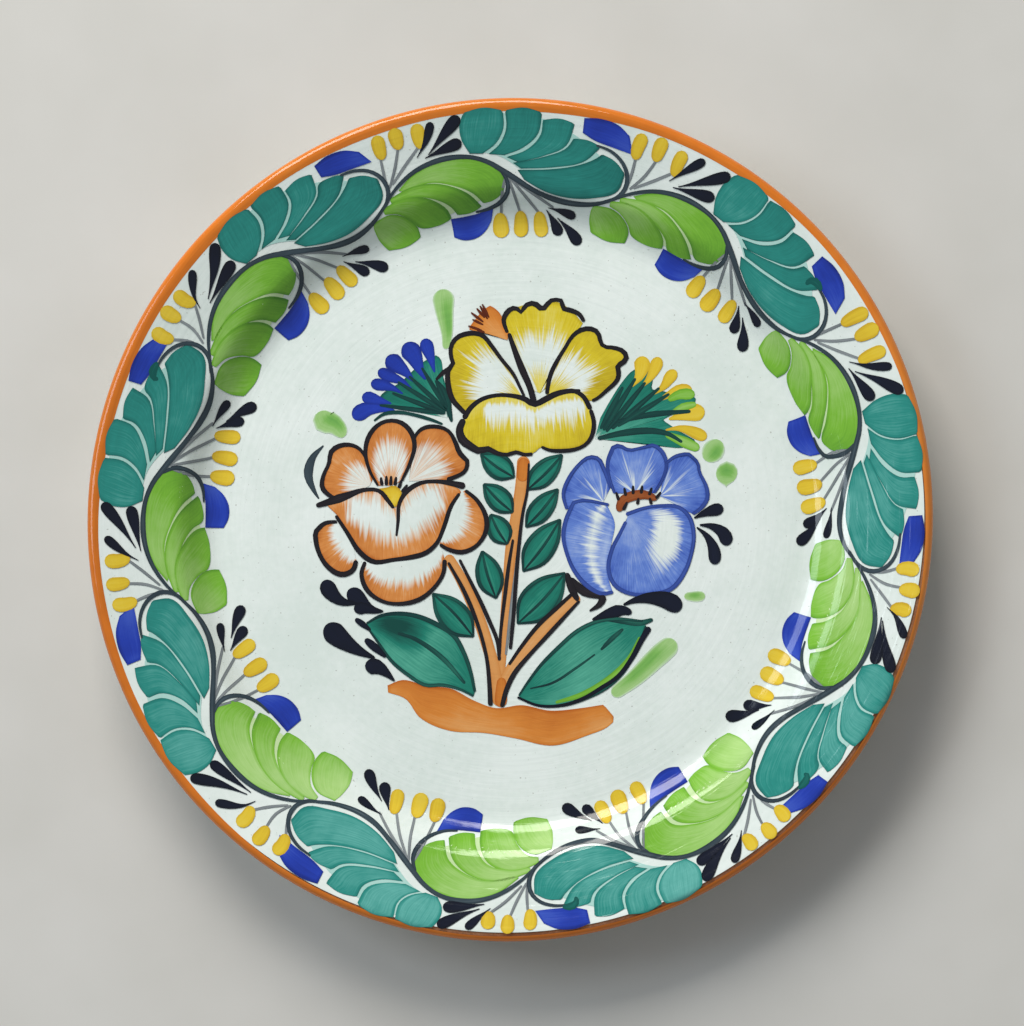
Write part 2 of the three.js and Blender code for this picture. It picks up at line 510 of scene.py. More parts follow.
def spin_section(line, closed):
    """A bmesh turned about Z from a line of (radius, height) in millimetres."""
    bm = bmesh.new()
    chain = [bm.verts.new((p.x * MM, 0, p.y * MM)) for p in line]
    pairs = list(zip(chain, chain[1:])) + ([(chain[-1], chain[0])] if closed else [])
    edges = [bm.edges.new(pair) for pair in pairs]
    about_z = {"cent": (0, 0, 0), "axis": (0, 0, 1)}
    bmesh.ops.spin(
        bm, geom=chain + edges, angle=math.tau / 4, steps=TURN_STEPS // 4, **about_z
    )
    quarter = bm.verts[:] + bm.edges[:] + bm.faces[:]
    bmesh.ops.spin(
        bm, geom=quarter, angle=math.tau * 3 / 4, steps=3, use_duplicate=True, **about_z
    )
    bmesh.ops.remove_doubles(bm, verts=bm.verts, dist=2e-6)
    bmesh.ops.recalc_face_normals(bm, faces=bm.faces)
    return bm


def warp_all(bm):
    for vert in bm.verts:
        share = min(max(vert.co.z / GROUND_FLAT, 0.0), 1.0)
        vert.co.z += share * warp(vert.co.x / MM, vert.co.y / MM) * MM


def finished(name, bm, material):
    """A smooth-shaded piece of the plate, with its real creases kept sharp."""
    for face in bm.faces:
        face.smooth = True
    for edge in bm.edges:
        edge.smooth = edge.calc_face_angle(0.0) < CREASE
    mesh = bpy.data.meshes.new(name)
    bm.to_mesh(mesh)
    bm.free()
    mesh.materials.append(material)
    piece = bpy.data.objects.new(name, mesh)
    bpy.context.scene.collection.objects.link(piece)
    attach(piece, "root")
    return piece


def turned_again(name, node, material):
    corners = sections[node]
    closed = min(p.x for p in corners) > 0.01
    bm = spin_section(fine_section(corners, closed), closed)
    warp_all(bm)
    piece = finished(name, bm, material)
    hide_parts(node)
    print(name, "has", len(piece.data.polygons), "faces")
    return piece


turned_again("clay_foot_and_body", "clay_body", BARE_CLAY)
turned_again("back_glaze_coat", "back_glaze", TIN_GLAZE)
turned_again("foot_well_glaze_coat", "foot_well_glaze", TIN_GLAZE)

# %% [markdown]
# ## The white face and the lip
# The white runs on under the coloured lip, because the lip is brushed over it. So the face's
# coat is turned from the face's own line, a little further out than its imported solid. The lip's
# band is turned from its packed section with its inner edge drawn in. Then each point of that
# edge is moved in or out by a slow wander: the brush is held still while the wheel turns, and the
# band comes out wider on one side.

# %% White face
COAT = 0.5  # mm
WHITE_REACH = 147.6  # mm, under the lip's band
FLAT_REACH = 102  # mm, the floor of the well is flat this far out
FLAT_RINGS = 16
top = [p for p in face_line if p.x < WHITE_REACH]
floor_edge = next(i for i, p in enumerate(top) if p.x > FLAT_REACH)
rings = spaced(top[: floor_edge + 1], FLAT_RINGS) + top[floor_edge + 1 :: 2]
under = [Vector((p.x, p.y - COAT)) for p in rings]
bm = spin_section(under + rings[::-1], closed=False)
warp_all(bm)
face = finished("face_glaze_coat", bm, TIN_GLAZE)
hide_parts("face_glaze")
print(face.name, "has", len(face.data.polygons), "faces")

# %% Coloured lip
BAND_LIFT = 0.05  # mm proud of the white
BAND_DEPTH = 0.4
BAND_INNER = 146.6  # radius of its inner edge before it wanders
BAND_STEADY = 149.0  # beyond this radius nothing wanders
BAND_UPPER = 2.6 * MM  # above the band's foot, where its upper side starts


def band_wander(turn):
    """How far the band's inner edge moves inwards, clockwise from the top of the painting."""
    widest_at_left = 1.9 * math.cos(turn - math.radians(325))
    return widest_at_left + 0.2 * math.sin(5 * turn + 1) + 0.14 * math.sin(13 * turn)


def beside(line, distance):
    """The line moved to its left."""
    moved = []
    for i, p in enumerate(line):
        along = (line[min(i + 1, len(line) - 1)] - line[max(i - 1, 0)]).normalized()
        moved.append(p + distance * Vector((-along.y, along.x)))
    return moved


round_lip = [p for i, p in enumerate(whole_line) if p.x > BAND_INNER or i > outermost]
band = spin_section(
    beside(round_lip, BAND_LIFT) + beside(round_lip, -BAND_DEPTH)[::-1], closed=True
)
for vert in band.verts:
    radius = math.hypot(vert.co.x, vert.co.y) / MM
    if radius < BAND_STEADY and vert.co.z > lip_low.z + BAND_UPPER:
        share = min((BAND_STEADY - radius) / (BAND_STEADY - BAND_INNER), 1.0)
        moved = radius - share * band_wander(math.atan2(vert.co.x, vert.co.y))
        vert.co.z += (face_height(moved) - face_height(radius)) * MM
        vert.co.x *= moved / radius
        vert.co.y *= moved / radius
warp_all(band)
print("the band is turned from", len(round_lip), "points of the lip")

# %% [markdown]
# ## Laying a brush mark
# A brush mark is a film a twentieth of a millimetre thick that follows the face. We make it from
# a grid: one direction of the grid runs along the mark, the other across it, between its two edge
# lines. The grid's points are moved onto the face, its doubled points are merged where the mark
# comes to a point, and it is extruded to give the film a thickness. The same two directions give
# the mark its UV map, so streaks follow the brush however the mark bends.

# %% One mark
CELL = 1.5  # mm between the points of a mark
FIRST_LIFT = 0.06  # mm, the lowest film over the white
LAYER_LIFT = 0.032  # mm from one layer to the next
FILM = 0.05
POOL = 0.9  # mm, how far in from a wet edge the pigment pools
DRY = 99.0  # mm, stands for an edge that doesn't pool
LOAD_SLIP = 0.07  # how much the load of pigment differs from mark to mark
MOST_COLUMNS = 40


def new_paint():
    bm = bmesh.new()
    bm.loops.layers.uv.new("brush")
    bm.verts.layers.float_color.new("paint")
    return bm


def part_of(line, share):
    """The point at that share of a line's steps."""
    place = share * (len(line) - 1)
    i = min(int(place), len(line) - 2)
    return line[i].lerp(line[i + 1], place - i)


def solid(s, t):
    return 1.0


def even(s, t):
    return 0.5


def mark(bm, near, far, layer, cover=solid, load=even, across=False, wet=(1, 1, 1, 1)):
    """Lays one film between two edge lines.

    s runs along the lines and t from near to far. The brush moves along s, or along t if across
    is set. wet says which edges pool: near, far, the start and the end of the lines.
    """
    length = max(length_of(near), length_of(far), 0.1)
    width = max((part_of(near, k / 6) - part_of(far, k / 6)).length for k in range(7))
    rows = max(len(near), len(far)) - 1
    columns = max(4, min(MOST_COLUMNS, round(width / CELL)))
    grid = bmesh.ops.create_grid(bm, x_segments=rows, y_segments=columns, size=1.0)["verts"]
    slip = hand.uniform(0, 400), hand.uniform(0, 400)
    heavier = hand.uniform(-LOAD_SLIP, LOAD_SLIP)
    uv, numbers = bm.loops.layers.uv["brush"], bm.verts.layers.float_color["paint"]
    lift = FIRST_LIFT + LAYER_LIFT * layer + hand.uniform(0, LAYER_LIFT / 3)
    path = {}
    for vert in grid:
        s, t = (vert.co.x + 1) / 2, (vert.co.y + 1) / 2
        a, b = part_of(near, s), part_of(far, s)
        gap = (b - a).length
        to_edges = t * gap, (1 - t) * gap, s * length, (1 - s) * length
        inside = min(reach if pools else DRY for reach, pools in zip(to_edges, wet))
        edge = max(0.0, 1 - inside / POOL)
        vert[numbers] = (cover(s, t), load(s, t) + heavier, edge, 1)
        along, aside = (t * width, s * length) if across else (s * length, t * width)
        path[vert] = (slip[0] + along) * MM, (slip[1] + aside) * MM
        vert.co = on_face(a.lerp(b, t), lift)
    faces = {face for vert in grid for face in vert.link_faces}
    for face in faces:
        for loop in face.loops:
            loop[uv].uv = path[loop.vert]
    bmesh.ops.remove_doubles(bm, verts=grid, dist=2e-6)
    faces = [face for face in faces if face.is_valid]
    bmesh.ops.recalc_face_normals(bm, faces=faces)
    if sum(face.normal.z for face in faces) < 0:
        bmesh.ops.reverse_faces(bm, faces=faces)
    raised = bmesh.ops.extrude_face_region(bm, geom=faces, use_keep_orig=True)["geom"]
    for item in raised:
        if isinstance(item, bmesh.types.BMVert):
            item.co.z += FILM * MM
    return bm


def rounded(k):
    """Steps along a stroke that are close together at both ends, where it rounds off."""
    return (1 - math.cos(math.pi * k)) / 2


def stroke(bm, points, widths, layer, cover=solid, load=even):
    """One pull of the brush along a few points, with its widths evenly spaced along it."""
    line = smooth(points, 0.4)
    length = length_of(line)
    rows = max(8, round(1.25 * length / CELL))
    spine = spaced(line, rows, rounded)
    widths = smooth([(k, w) for k, w in enumerate(widths)], 0.05) if len(widths) > 1 else widths
    near, far = [], []
    for i, p in enumerate(spine):
        share = rounded(i / rows)
        half = part_of(widths, share).y / 2 if len(widths) > 1 else widths[0] / 2
        from_end = min(share, 1 - share) * length
        half *= math.sqrt(max(0.0, 1 - (1 - min(from_end / max(half, 0.05), 1.0)) ** 2))
        along = (spine[min(i + 1, rows)] - spine[max(i - 1, 0)]).normalized()
        side = Vector((-along.y, along.x)) * half
        near.append(p + side)
        far.append(p - side)
    return mark(bm, near, far, layer, cover, load)


def petal(bm, left, right, layer, cover=solid, load=even, point=0.35, grow=0.0):
    """A broad mark between a left and a right edge, which meet in a rounded end."""
    ends, before = (left[-1], right[-1]), (left[-2], right[-2])
    middle = (Vector(ends[0]) + Vector(ends[1])) / 2
    onward = (middle - (Vector(before[0]) + Vector(before[1])) / 2).normalized()
    tip = middle + onward * point * (Vector(ends[0]) - Vector(ends[1])).length
    near = smooth([*left, tip], 0.4, after=right[-1])
    far = smooth([*right, tip], 0.4, after=left[-1])
    rows = max(6, round(1.2 * max(length_of(near), length_of(far)) / CELL))
    near, far = (spaced(line, rows, lambda k: 0.4 * k + 0.6 * rounded(k)) for line in (near, far))
    wider = [(a - b).normalized() * grow for a, b in zip(near, far)]
    near = [a + w for a, w in zip(near, wider)]
    far = [b - w for b, w in zip(far, wider)]
    return mark(bm, near, far, layer, cover, load)


def fan(bm, heart, outline, layer, cover=solid, load=even):
    """Paint pulled from a petal's outline in towards its heart, or between two lines."""
    far = smooth(outline, CELL)
    near = [Vector(heart[0])] * len(far)
    if len(heart) > 1:
        near = spaced(smooth(heart, 0.5), len(far) - 1)
    return mark(bm, near, far, layer, cover, load, across=True, wet=(len(heart) > 1, 1, 1, 1))


def in_steps(lines, pieces):
    """Smooth lines through each list of points, all cut into the same number of steps."""
    return [spaced(smooth(line), pieces) for line in lines]


print("a film lies", FIRST_LIFT, "mm proud and is", FILM, "mm thick")

# %% [markdown]
# ## The band on the lip
# The band is a coat too, so it carries the same three numbers as a mark. Its UV map runs round
# the plate, because the brush stood still while the plate turned under it.

# %% Finish the lip's band
numbers = band.verts.layers.float_color.new("paint")
uv = band.loops.layers.uv.new("brush")
for vert in band.verts:
    turn = math.atan2(vert.co.x, vert.co.y)
    vert[numbers] = (1, 0.5 - 0.12 * math.sin(turn) + 0.08 * math.sin(3 * turn), 0, 1)
for bm_face in band.faces:
    turns = [math.atan2(loop.vert.co.x, loop.vert.co.y) for loop in bm_face.loops]
    seam = max(turns) - min(turns) > math.pi
    for loop, turn in zip(bm_face.loops, turns):
        turn += math.tau if seam and turn < 0 else 0
        across = math.hypot(loop.vert.co.x, loop.vert.co.y) + loop.vert.co.z
        loop[uv].uv = turn * LIP_RADIUS, across
lip = finished("lip_band", band, LIP_ORANGE)
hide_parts("rim_band")
print(lip.name, "has", len(lip.data.polygons), "faces")

# %% [markdown]
# ## The border
# Nine repeats run round the rim, each 40 degrees of the circle: a vine that rises and falls, a
# teal leaf of five pulls hanging under its crest side, a green leaf of four on the other side, a
# cobalt petal at the head of each, and sprays of yellow dabs and dark drops. A painter sets a
# repeat out by eye, so no two match. We write one repeat down in its own terms, degrees clockwise
# and millimetres from the centre, and bend it to each place: the vine's crest and trough sit
# a little higher or lower each time, and every mark gets a small slip of its own.

# %% Placing the border's repeats
REPEATS = 9
STARTS = [0, 40.3, 79.7, 119.5, 158.8, 196.4, 238.4, 279.7, 320.9]  # degrees, set out by eye
# How far each repeat strays from the drawn one, in millimetres at the vine's crest, at its
# trough, along the lip and along the well, and in degrees for the two sprays.
CREST_SLIPS = [0.0, -1.1, -0.8, 4.9, 5.7, 6.0, 1.2, -0.3, 0.2]
TROUGH_SLIPS = [0.0, 0.0, 2.8, 5.5, 2.8, 2.8, 0.8, 1.6, 1.3]
LIP_SLIPS = [0.3, 0.3, 2.0, 2.6, 2.4, 2.0, 0.7, 0.0, -0.4]
WELL_SLIPS = [0.0, 0.0, 0.0, 1.5, 1.2, 0.0, -1.6, -1.2, -0.8]
OUTER_TURNS = [0.2, -0.7, 0.3, -1.9, -1.4, -0.5, -2.6, -1.4, -2.2]
INNER_TURNS = [0.0, 0.0, 2.0, 0.0, -1.8, -0.2, 0.4, 1.4, 0.0]


def blend_step(share):
    share = min(max(share, 0.0), 1.0)
    return share * share * (3 - 2 * share)


def between(one, other, share):
    share = blend_step(share)
    return one * (1 - share) + other * share


def border(repeat, turn, radius, slip=(0.0, 0.0)):
    """A place in a repeat of the border, as a point in millimetres on the plate."""
    crest, trough = CREST_SLIPS[repeat], TROUGH_SLIPS[repeat]
    sway = between(crest, trough, (turn + 9) / 18)
    if turn < -9:
        sway = between(crest, TROUGH_SLIPS[repeat - 1], (-9 - turn) / 20)
    if turn > 11:
        sway = between(trough, CREST_SLIPS[(repeat + 1) % REPEATS], (turn - 11) / 20)
    by_lip, by_well = (radius - 130) / 14, (119 - radius) / 9
    sway = between(between(sway, LIP_SLIPS[repeat], by_lip), WELL_SLIPS[repeat], by_well)
    round_slip = between(0, OUTER_TURNS[repeat], by_lip + 0.3) * blend_step((-10 - turn) / 3)
    round_slip += between(0, INNER_TURNS[repeat], by_well) * blend_step((turn + 15) / 3)
    neighbour = (repeat + 1) % REPEATS if turn > 0 else repeat - 1
    room = abs((STARTS[neighbour] - STARTS[repeat] + 180) % 360 - 180)
    angle = math.radians(STARTS[repeat] + turn * room / 40 + round_slip + slip[0])
    radius = min(radius + sway + slip[1], BAND_INNER - band_wander(angle) + 0.4)
    return Vector((radius * math.sin(angle), radius * math.cos(angle)))


def slipped(turn=0.35, radius=0.35):
    return hand.uniform(-turn, turn), hand.uniform(-radius, radius)


def along_border(repeat, points, slip=(0.0, 0.0)):
    return [border(repeat, turn, radius, slip) for turn, radius in points]


print("each repeat is about", round(math.tau * 135 / REPEATS), "mm long")

# %% [markdown]
# ## The leaves of the border
# Each lobe of a leaf is one loaded pull of a broad brush, between a thin end at the vine and a
# round one at the outside. A pale wash lies under the whole leaf, so the gap between two pulls
# shows a tint of its colour. The pigment is heaviest at the ends of a pull.

# %% Teal and green leaves
TEAL_LEAF = [  # the left and right edge of each lobe, from the vine outwards
    ([(-6.2, 131), (-7.2, 136), (-7.2, 141), (-6.4, 145.6)],
     [(-4.4, 130.6), (-2.1, 134), (-0.9, 139), (-0.9, 145.6)]),
    ([(-3.2, 130.6), (-1.3, 134), (-0.3, 139), (-0.4, 145.2)],
     [(-0.9, 130), (2.0, 132.6), (4.2, 137.5), (4.6, 144.8)]),
    ([(-0.2, 129.2), (3.0, 132), (4.9, 137), (5.1, 142.2)],
     [(1.4, 127.6), (5.4, 130.2), (8.7, 134.6), (9.5, 142.2)]),
    ([(0.8, 127.0), (5.2, 129.2), (9.0, 133.4), (9.9, 137)],
     [(1.9, 125.3), (7.2, 126.5), (11.8, 130.0), (13.9, 136)]),
    ([(1.4, 124.4), (6.5, 125.2), (11, 128.0), (13.6, 131.6), (14.4, 133.6)],
     [(2.4, 121.4), (6, 117.9), (10.4, 116.8), (14.6, 118.6), (18, 123), (18.4, 129.6)]),
]
GREEN_LEAF = [
    ([(-19, 123.2), (-16, 127.2), (-12, 129.8), (-8, 130), (-4, 128.3), (-1.6, 125),
      (-1.0, 121), (-1.7, 116.6)],
     [(-18.6, 122.8), (-13.4, 123.6), (-9.6, 121), (-6.6, 117.6), (-4.9, 114)]),
    ([(-21, 121.4), (-17, 123.2), (-13.2, 122.8), (-10, 120.4), (-7.4, 117), (-5.6, 113)],
     [(-21, 120.4), (-17, 120.2), (-13.2, 117.6), (-10.9, 114.4), (-10, 111.5)]),
    ([(-22.6, 118.8), (-19.6, 120.2), (-16, 119.4), (-13.4, 116.8), (-11.7, 113.4), (-11.4, 110.6)],
     [(-22.6, 117.6), (-20.4, 116.4), (-18.4, 113.4), (-17.4, 110.6)]),
    ([(-25.2, 115.8), (-22, 116.4), (-19.5, 114.4), (-18.1, 111), (-18.1, 107)],
     [(-25.4, 114.8), (-25.4, 111.4), (-24.6, 107)]),
]


CURL = [(14.2, 136.6), (12.6, 136.8), (11.8, 135.4), (12, 133.6)]  # a wet touch at a hook's end
CURLED = (1, 3, 4, 7)  # the repeats that have one
# Painted light and shade: how much paler the border leaves are painted at the foot of the plate, and
# how much darker at its top.
PAINTED_LIGHT_AT_FOOT, PAINTED_SHADE_AT_TOP = 0.24, 0.06


def pressed(s, t):
    """Heaviest where the brush was pressed down, at the round end."""
    return 0.42 + 0.3 * s * s + 0.3 * (1 - s) ** 5


def lifted(s, t):
    """A thin wet start and a heavier round end."""
    return 0.3 + 0.42 * blend_step((s - 0.3) / 0.7) + 0.1 * (0.5 - t)


def leaf_of_pulls(name, lobes, repeat, layer, material, load, grow, curl=None):
    bm = new_paint()
    # Painted light and shade: the leaves are painted paler towards the foot of the plate and darker
    # at its top, as brighter light at the foot would show them.
    painted_light_shift = PAINTED_LIGHT_AT_FOOT * math.sin(math.radians(STARTS[repeat] / 2)) ** 2 - PAINTED_SHADE_AT_TOP
    for left, right in lobes:
        slip = slipped(0.12, 0.2)
        petal(bm, along_border(repeat, left, slip), along_border(repeat, right, slip),
              layer, load=lambda s, t: load(s, t) - painted_light_shift, point=0.1, grow=grow)
    if curl and repeat in CURLED:
        stroke(bm, along_border(repeat, curl), [1.4, 3.0, 2.4, 1.2], 5, load=lambda s, t: 0.9)
    return finished(f"{name}_{repeat + 1}", bm, material)


def wash_under(name, repeat, near, far, material, slot_name):
    """A thin wash over the whole leaf, which shows as a pale tint between its pulls."""
    bm = new_paint()
    edges = in_steps([along_border(repeat, near), along_border(repeat, far)], 48)
    mark(bm, *edges, 0, load=lambda s, t: 0.1)
    return finished(f"{name}_{repeat + 1}", bm, material)


TEAL_WASH = (
    [(-4.6, 131.4), (-1.6, 129.6), (1.4, 125.5), (5, 119.6), (10, 117.4), (15, 119.6),
     (17.6, 124)],
    [(-6, 143), (-0.6, 144), (5, 142.4), (9.5, 138.5), (13, 134.4), (15, 131.4), (17.6, 128)],
)
GREEN_WASH = (
    [(-19, 122.5), (-16, 126), (-12, 128.6), (-8, 128.8), (-4.4, 127), (-2.4, 123)],
    [(-21, 118), (-18.4, 114.4), (-14, 111.8), (-10, 112.6), (-6.6, 114.4), (-3.6, 116)],
)
for repeat in range(REPEATS):
    wash_under("rim_teal_wash", repeat, *TEAL_WASH, TEAL_TINT, "teal_paint")
    wash_under("rim_green_wash", repeat, *GREEN_WASH, GREEN_TINT, "green_paint")
    leaf_of_pulls("rim_teal_leaf", TEAL_LEAF, repeat, 2, COPPER_TEAL, pressed, 0.26,
                  CURL)
    leaf_of_pulls("rim_green_leaf", GREEN_LEAF, repeat, 2, LEAF_GREEN, lifted, 0.32)
print("painted", REPEATS * (len(TEAL_LEAF) + len(GREEN_LEAF)), "lobes")

# %% [markdown]
# ## Cobalt petals
# A flat brush, pressed once and turned, makes a petal with one square corner. Cobalt is strong,
# so these read as solid blue with a darker rim.

# %% Cobalt petals of the border
OUTER_PETAL = (
    [(10.4, 144.2), (12.6, 145.2), (15.2, 144.4), (17.2, 141.8)],
    [(10.5, 139.2), (12.4, 137.4), (15.2, 136.6), (18.4, 136.3)],
)
INNER_PETAL = (
    [(-11.3, 110.8), (-8.5, 110.8), (-6, 111.2), (-3.1, 112.6)],
    [(-11.4, 104.4), (-9.6, 102.7), (-7, 102.8), (-5, 105), (-3.7, 108.4)],
)


def turned_brush(s, t):
    return 0.55 - 0.2 * t + 0.14 * math.sin(5 * s)


for repeat in range(REPEATS):
    bm = new_paint()
    for edges in (OUTER_PETAL, INNER_PETAL):
        slip = slipped()
        lines = [along_border(repeat, edge, slip) for edge in edges]
        mark(bm, *in_steps(lines, 16), 3, load=turned_brush)
    finished(f"rim_cobalt_petals_{repeat + 1}", bm, COBALT)
print("painted", 2 * REPEATS, "petals")

# %% [markdown]
# ## The vine, the stems and the sprays
# Lines come last, with a liner: long hairs, little pigment, and a width that follows the hand.
# The vine runs through each repeat and throws a hook round the head of each leaf. From
# its joints fan thin grey stems, which end in yellow dabs and in drops of dark ink that start
# as a hairline and finish with the full belly of the brush.

# %% Lines and sprays of the border
VINE = [(-21.8, 120.4), (-19.6, 124), (-16, 128.1), (-12.5, 130.2), (-9, 130.7), (-6, 129.8),
        (-3.4, 127.6), (-1.2, 124.6), (1, 121.6), (4, 118), (7.4, 115.7), (11, 115.1),
        (14.6, 116.3), (17.4, 119.1)]
VINE_WIDTHS = [0.8, 1.3, 1.6, 1.9, 1.5, 1.7, 2.0, 1.6, 1.9, 1.6, 1.0]
HOOKS = [
    ([(16.2, 117.8), (18.5, 121.2), (19.3, 125.4), (18.9, 129.6), (17.6, 133.1), (15.6, 135.4),
      (13.2, 136.2)], [0.9, 1.4, 1.6, 1.3, 1.1, 0.7]),
    ([(-1.6, 124.6), (-0.5, 120.6), (-0.6, 116.8), (-2, 113.8), (-4.4, 111.9), (-6.8, 111.3)],
     [0.9, 1.6, 1.5, 1.2, 0.6]),
]
STEMS = [
    [(-20.7, 124.6), (-20.4, 129.6), (-20.1, 136.6)],
    [(-20.2, 125.2), (-18.4, 131.2), (-17, 138.2)],
    [(-19.6, 126), (-16.6, 131.4), (-13.9, 136.6)],
    [(-0.7, 122.6), (-1.5, 116.2), (-2, 109.6)],
    [(-0.2, 122.2), (0.7, 116.2), (1.7, 110)],
    [(0.2, 121.8), (2.6, 116.2), (5.3, 110.6)],
    [(0.6, 121.2), (4, 116.8), (7.8, 112.8)],
]
DABS = [
    ([(-20.1, 135.2), (-20.1, 139.2), (-19.8, 144.2)], 4.7),
    ([(-17, 136.8), (-17, 140.8), (-16.9, 145.2)], 4.9),
    ([(-13.9, 135.4), (-14, 139.2), (-13.8, 144.2)], 4.7),
    ([(-1.9, 110.4), (-2, 106.7), (-1.8, 101.6)], 5.0),
    ([(1.7, 110.8), (1.9, 106.7), (1.9, 101.6)], 5.1),
    ([(5.2, 111.6), (5.6, 107.6), (6.2, 102.8)], 4.7),
]
DROPS = [
    ([(-14.6, 133), (-12.8, 137.6), (-11.2, 144)], 3.3),
    ([(-12.8, 133.2), (-10, 138.4), (-7.1, 144.4)], 4.3),
    ([(-13.4, 131.8), (-10.4, 133.4), (-7.2, 135.2)], 4.0),
    ([(6.8, 113), (9.2, 112.4), (12, 111.4)], 2.9),
    ([(6.5, 111.6), (8, 108), (9.6, 103.4)], 4.0),
    ([(8.4, 109.6), (11, 106), (13.6, 101.8)], 4.2),
]
DROP_SHAPE = [0.08, 0.14, 0.34, 0.72, 0.97, 1.0, 0.86]  # the width along a drop, as shares
DAB_SHAPE = [0.72, 0.98, 1.08, 1.1, 1.05]


def thin_then_full(s, t):
    return 0.3 + 0.5 * s


def scattered(bm, repeat, marks, shape, layer, load):
    for points, width in marks:
        line = along_border(repeat, points, slipped(0.22, 0.4))
        full = width * hand.uniform(0.92, 1.06)
        stroke(bm, line, [full * share for share in shape], layer, load=load)


for repeat in range(REPEATS):
    number = repeat + 1
    bm = new_paint()
    for points in STEMS:
        stroke(bm, along_border(repeat, points, slipped(0.15, 0.1)), [0.7, 1.0, 0.8], 3)
    finished(f"rim_stems_{number}", bm, GREY_WASH)
    bm = new_paint()
    scattered(bm, repeat, DABS, DAB_SHAPE, 4, lambda s, t: 0.42 + 0.16 * (1 - s))
    finished(f"rim_yellow_dabs_{number}", bm, ANTIMONY)
    bm = new_paint()
    scattered(bm, repeat, DROPS, DROP_SHAPE, 5, thin_then_full)
    finished(f"rim_drops_{number}", bm, NAVY_INK)
    bm = new_paint()
    stroke(bm, along_border(repeat, VINE), VINE_WIDTHS, 5)
    for points, widths in HOOKS:
        stroke(bm, along_border(repeat, points, slipped(0.15, 0.15)), widths, 4)
    finished(f"rim_vine_{number}", bm, VINE_INK)
print("painted", REPEATS * (len(STEMS) + len(DABS) + len(DROPS)), "stems, dabs and drops")

# %% [markdown]
# ## The bouquet
# The middle of the plate is drawn like a page: three stems grow out of a strip of ground, and each
# ends in a flower. Every point below is a place on the plate in millimetres, x to the right and y up.
# The painter lays the flat washes first, then the petals, and outlines come last in ink. A petal
# is a fan of strokes pulled from its outline in towards the heart, and the brush runs dry on
# the way, so the white of the glaze shows through in rays. Some of the helpers pick where paint
# covers: s runs along a petal's outline, and t from its heart (0) to its outline (1).

# %% Helpers for the bouquet
PAGE_SCALE = 1.005
PAGE_RIGHT, PAGE_UP = -0.5, 0.65  # mm, where the middle of the page lies on the plate


def placed(points):
    """The page of the bouquet, laid on the plate."""
    return [
        Vector((PAGE_SCALE * x + PAGE_RIGHT, PAGE_SCALE * y + PAGE_UP)) for x, y in points
    ]


def bare_middle(inner, outer, fade=0.5, least=0.0):
    """Paint near the heart and near the outline, with bare or thinly washed glaze between."""
    def cover(s, t):
        return min(max(0.5 + (inner - t) / fade, 0.5 + (t - outer) / fade, least), 1.0)
    return cover


def from_edge(start, fade=0.5, least=0.0):
    """Paint from the outline inwards only."""
    return bare_middle(-9, start, fade, least)


def bump(value, low, high):
    """Rises from 0 at both limits to 1 halfway between them."""
    share = (value - low) / (high - low)
    return math.sin(math.pi * share) if 0 < share < 1 else 0.0


def heavy_edge(s, t):
    return 0.3 + 0.34 * t + 0.1 * math.sin(9 * s)


def strokes(name, marks, layer, material, load=even):
    """A piece made of single pulls, each given as its points and its widths."""
    bm = new_paint()
    for points, widths in marks:
        stroke(bm, placed(points), widths, layer, load=load)
    return finished(name, bm, material)


def petals(name, shapes, material, load=heavy_edge):
    """A piece made of fans, each given as its heart, its outline, its layer and its cover."""
    bm = new_paint()
    for heart, outline, layer, cover in shapes:
        fan(bm, placed(heart), placed(outline), layer, cover, load)
    return finished(name, bm, material)


FROM_HEAD = (0.8, 1.0, 0.92, 0.62, 0.3, 0.12)  # the widths along a drop, as shares
BUD_ROOT = 5  # mm, how far towards the heart of its fan a bud is drawn out


def drop(points, width):
    """A drop that starts at its fat head."""
    return points, [width * share for share in FROM_HEAD]


def bud(points, width, heart):
    """A drop that starts thin, drawn out towards the heart of its fan, and ends in its head."""
    start = Vector(points[0])
    root = start + (Vector(heart) - start).normalized() * BUD_ROOT
    return [root, *points], [width * share for share in FROM_HEAD[::-1]]


print("the page of the bouquet is ready")

# %% [markdown]
# ## Ground and stems
# A loaded brush dragged once from left to right leaves the ground, darker along its top, where
# the pigment sank. The stems are the same orange let down with water, each drawn with one pull.

# %% Ground, stems and soft green dabs
GROUND_TOP = [(-43.5, -58.5), (-38, -56.6), (-30, -58.8), (-21, -59.8), (-13, -64), (-5, -66.8),
              (4, -65.8), (14, -67.8), (25, -67), (33, -65.8), (36.5, -70)]
GROUND_FOOT = [(-43.3, -61), (-37, -63.4), (-32, -70), (-22, -74.6), (-9, -75.6), (2, -77.6),
               (15, -80.2), (28, -76.4), (34, -74), (36.4, -72)]
bm = new_paint()
mark(bm, *in_steps([placed(GROUND_TOP), placed(GROUND_FOOT)], 60), 0,
     load=lambda s, t: 0.62 - 0.34 * t + 0.12 * math.sin(11 * s))
finished("ground", bm, ORANGE)

STEM_LINES = [
    ([(4.8, 22.5), (4.2, 14), (2.8, 4), (0.6, -8), (-1, -24), (-2.6, -44), (-3.4, -56)],
     [4.6, 4.4, 4.2, 3.6, 3.2, 2.8]),
    ([(-22.5, -12.5), (-18.5, -19), (-14.5, -27), (-10.8, -36), (-7.6, -46), (-5.4, -54),
      (-4, -66)], [3.6, 4.2, 4.4, 4.2, 4.0]),
    ([(24.5, -27.5), (19, -31.5), (12, -38.5), (6, -46), (1, -52.5), (-2.4, -59), (-3.6, -65)],
     [3.6, 4.4, 4.6, 4.6, 4.0]),
]
strokes("stems", STEM_LINES, 1, STEM_WASH)
strokes("stem_darks", [([(4.9, 22), (4.6, 18), (4.2, 13.5)], [3.8, 4.4, 4.0]),
                       ([(-3, -56), (-3.2, -61), (-3.4, -66.5)], [3, 4.5, 4.4])],
        2, ORANGE, load=lambda s, t: 0.7)

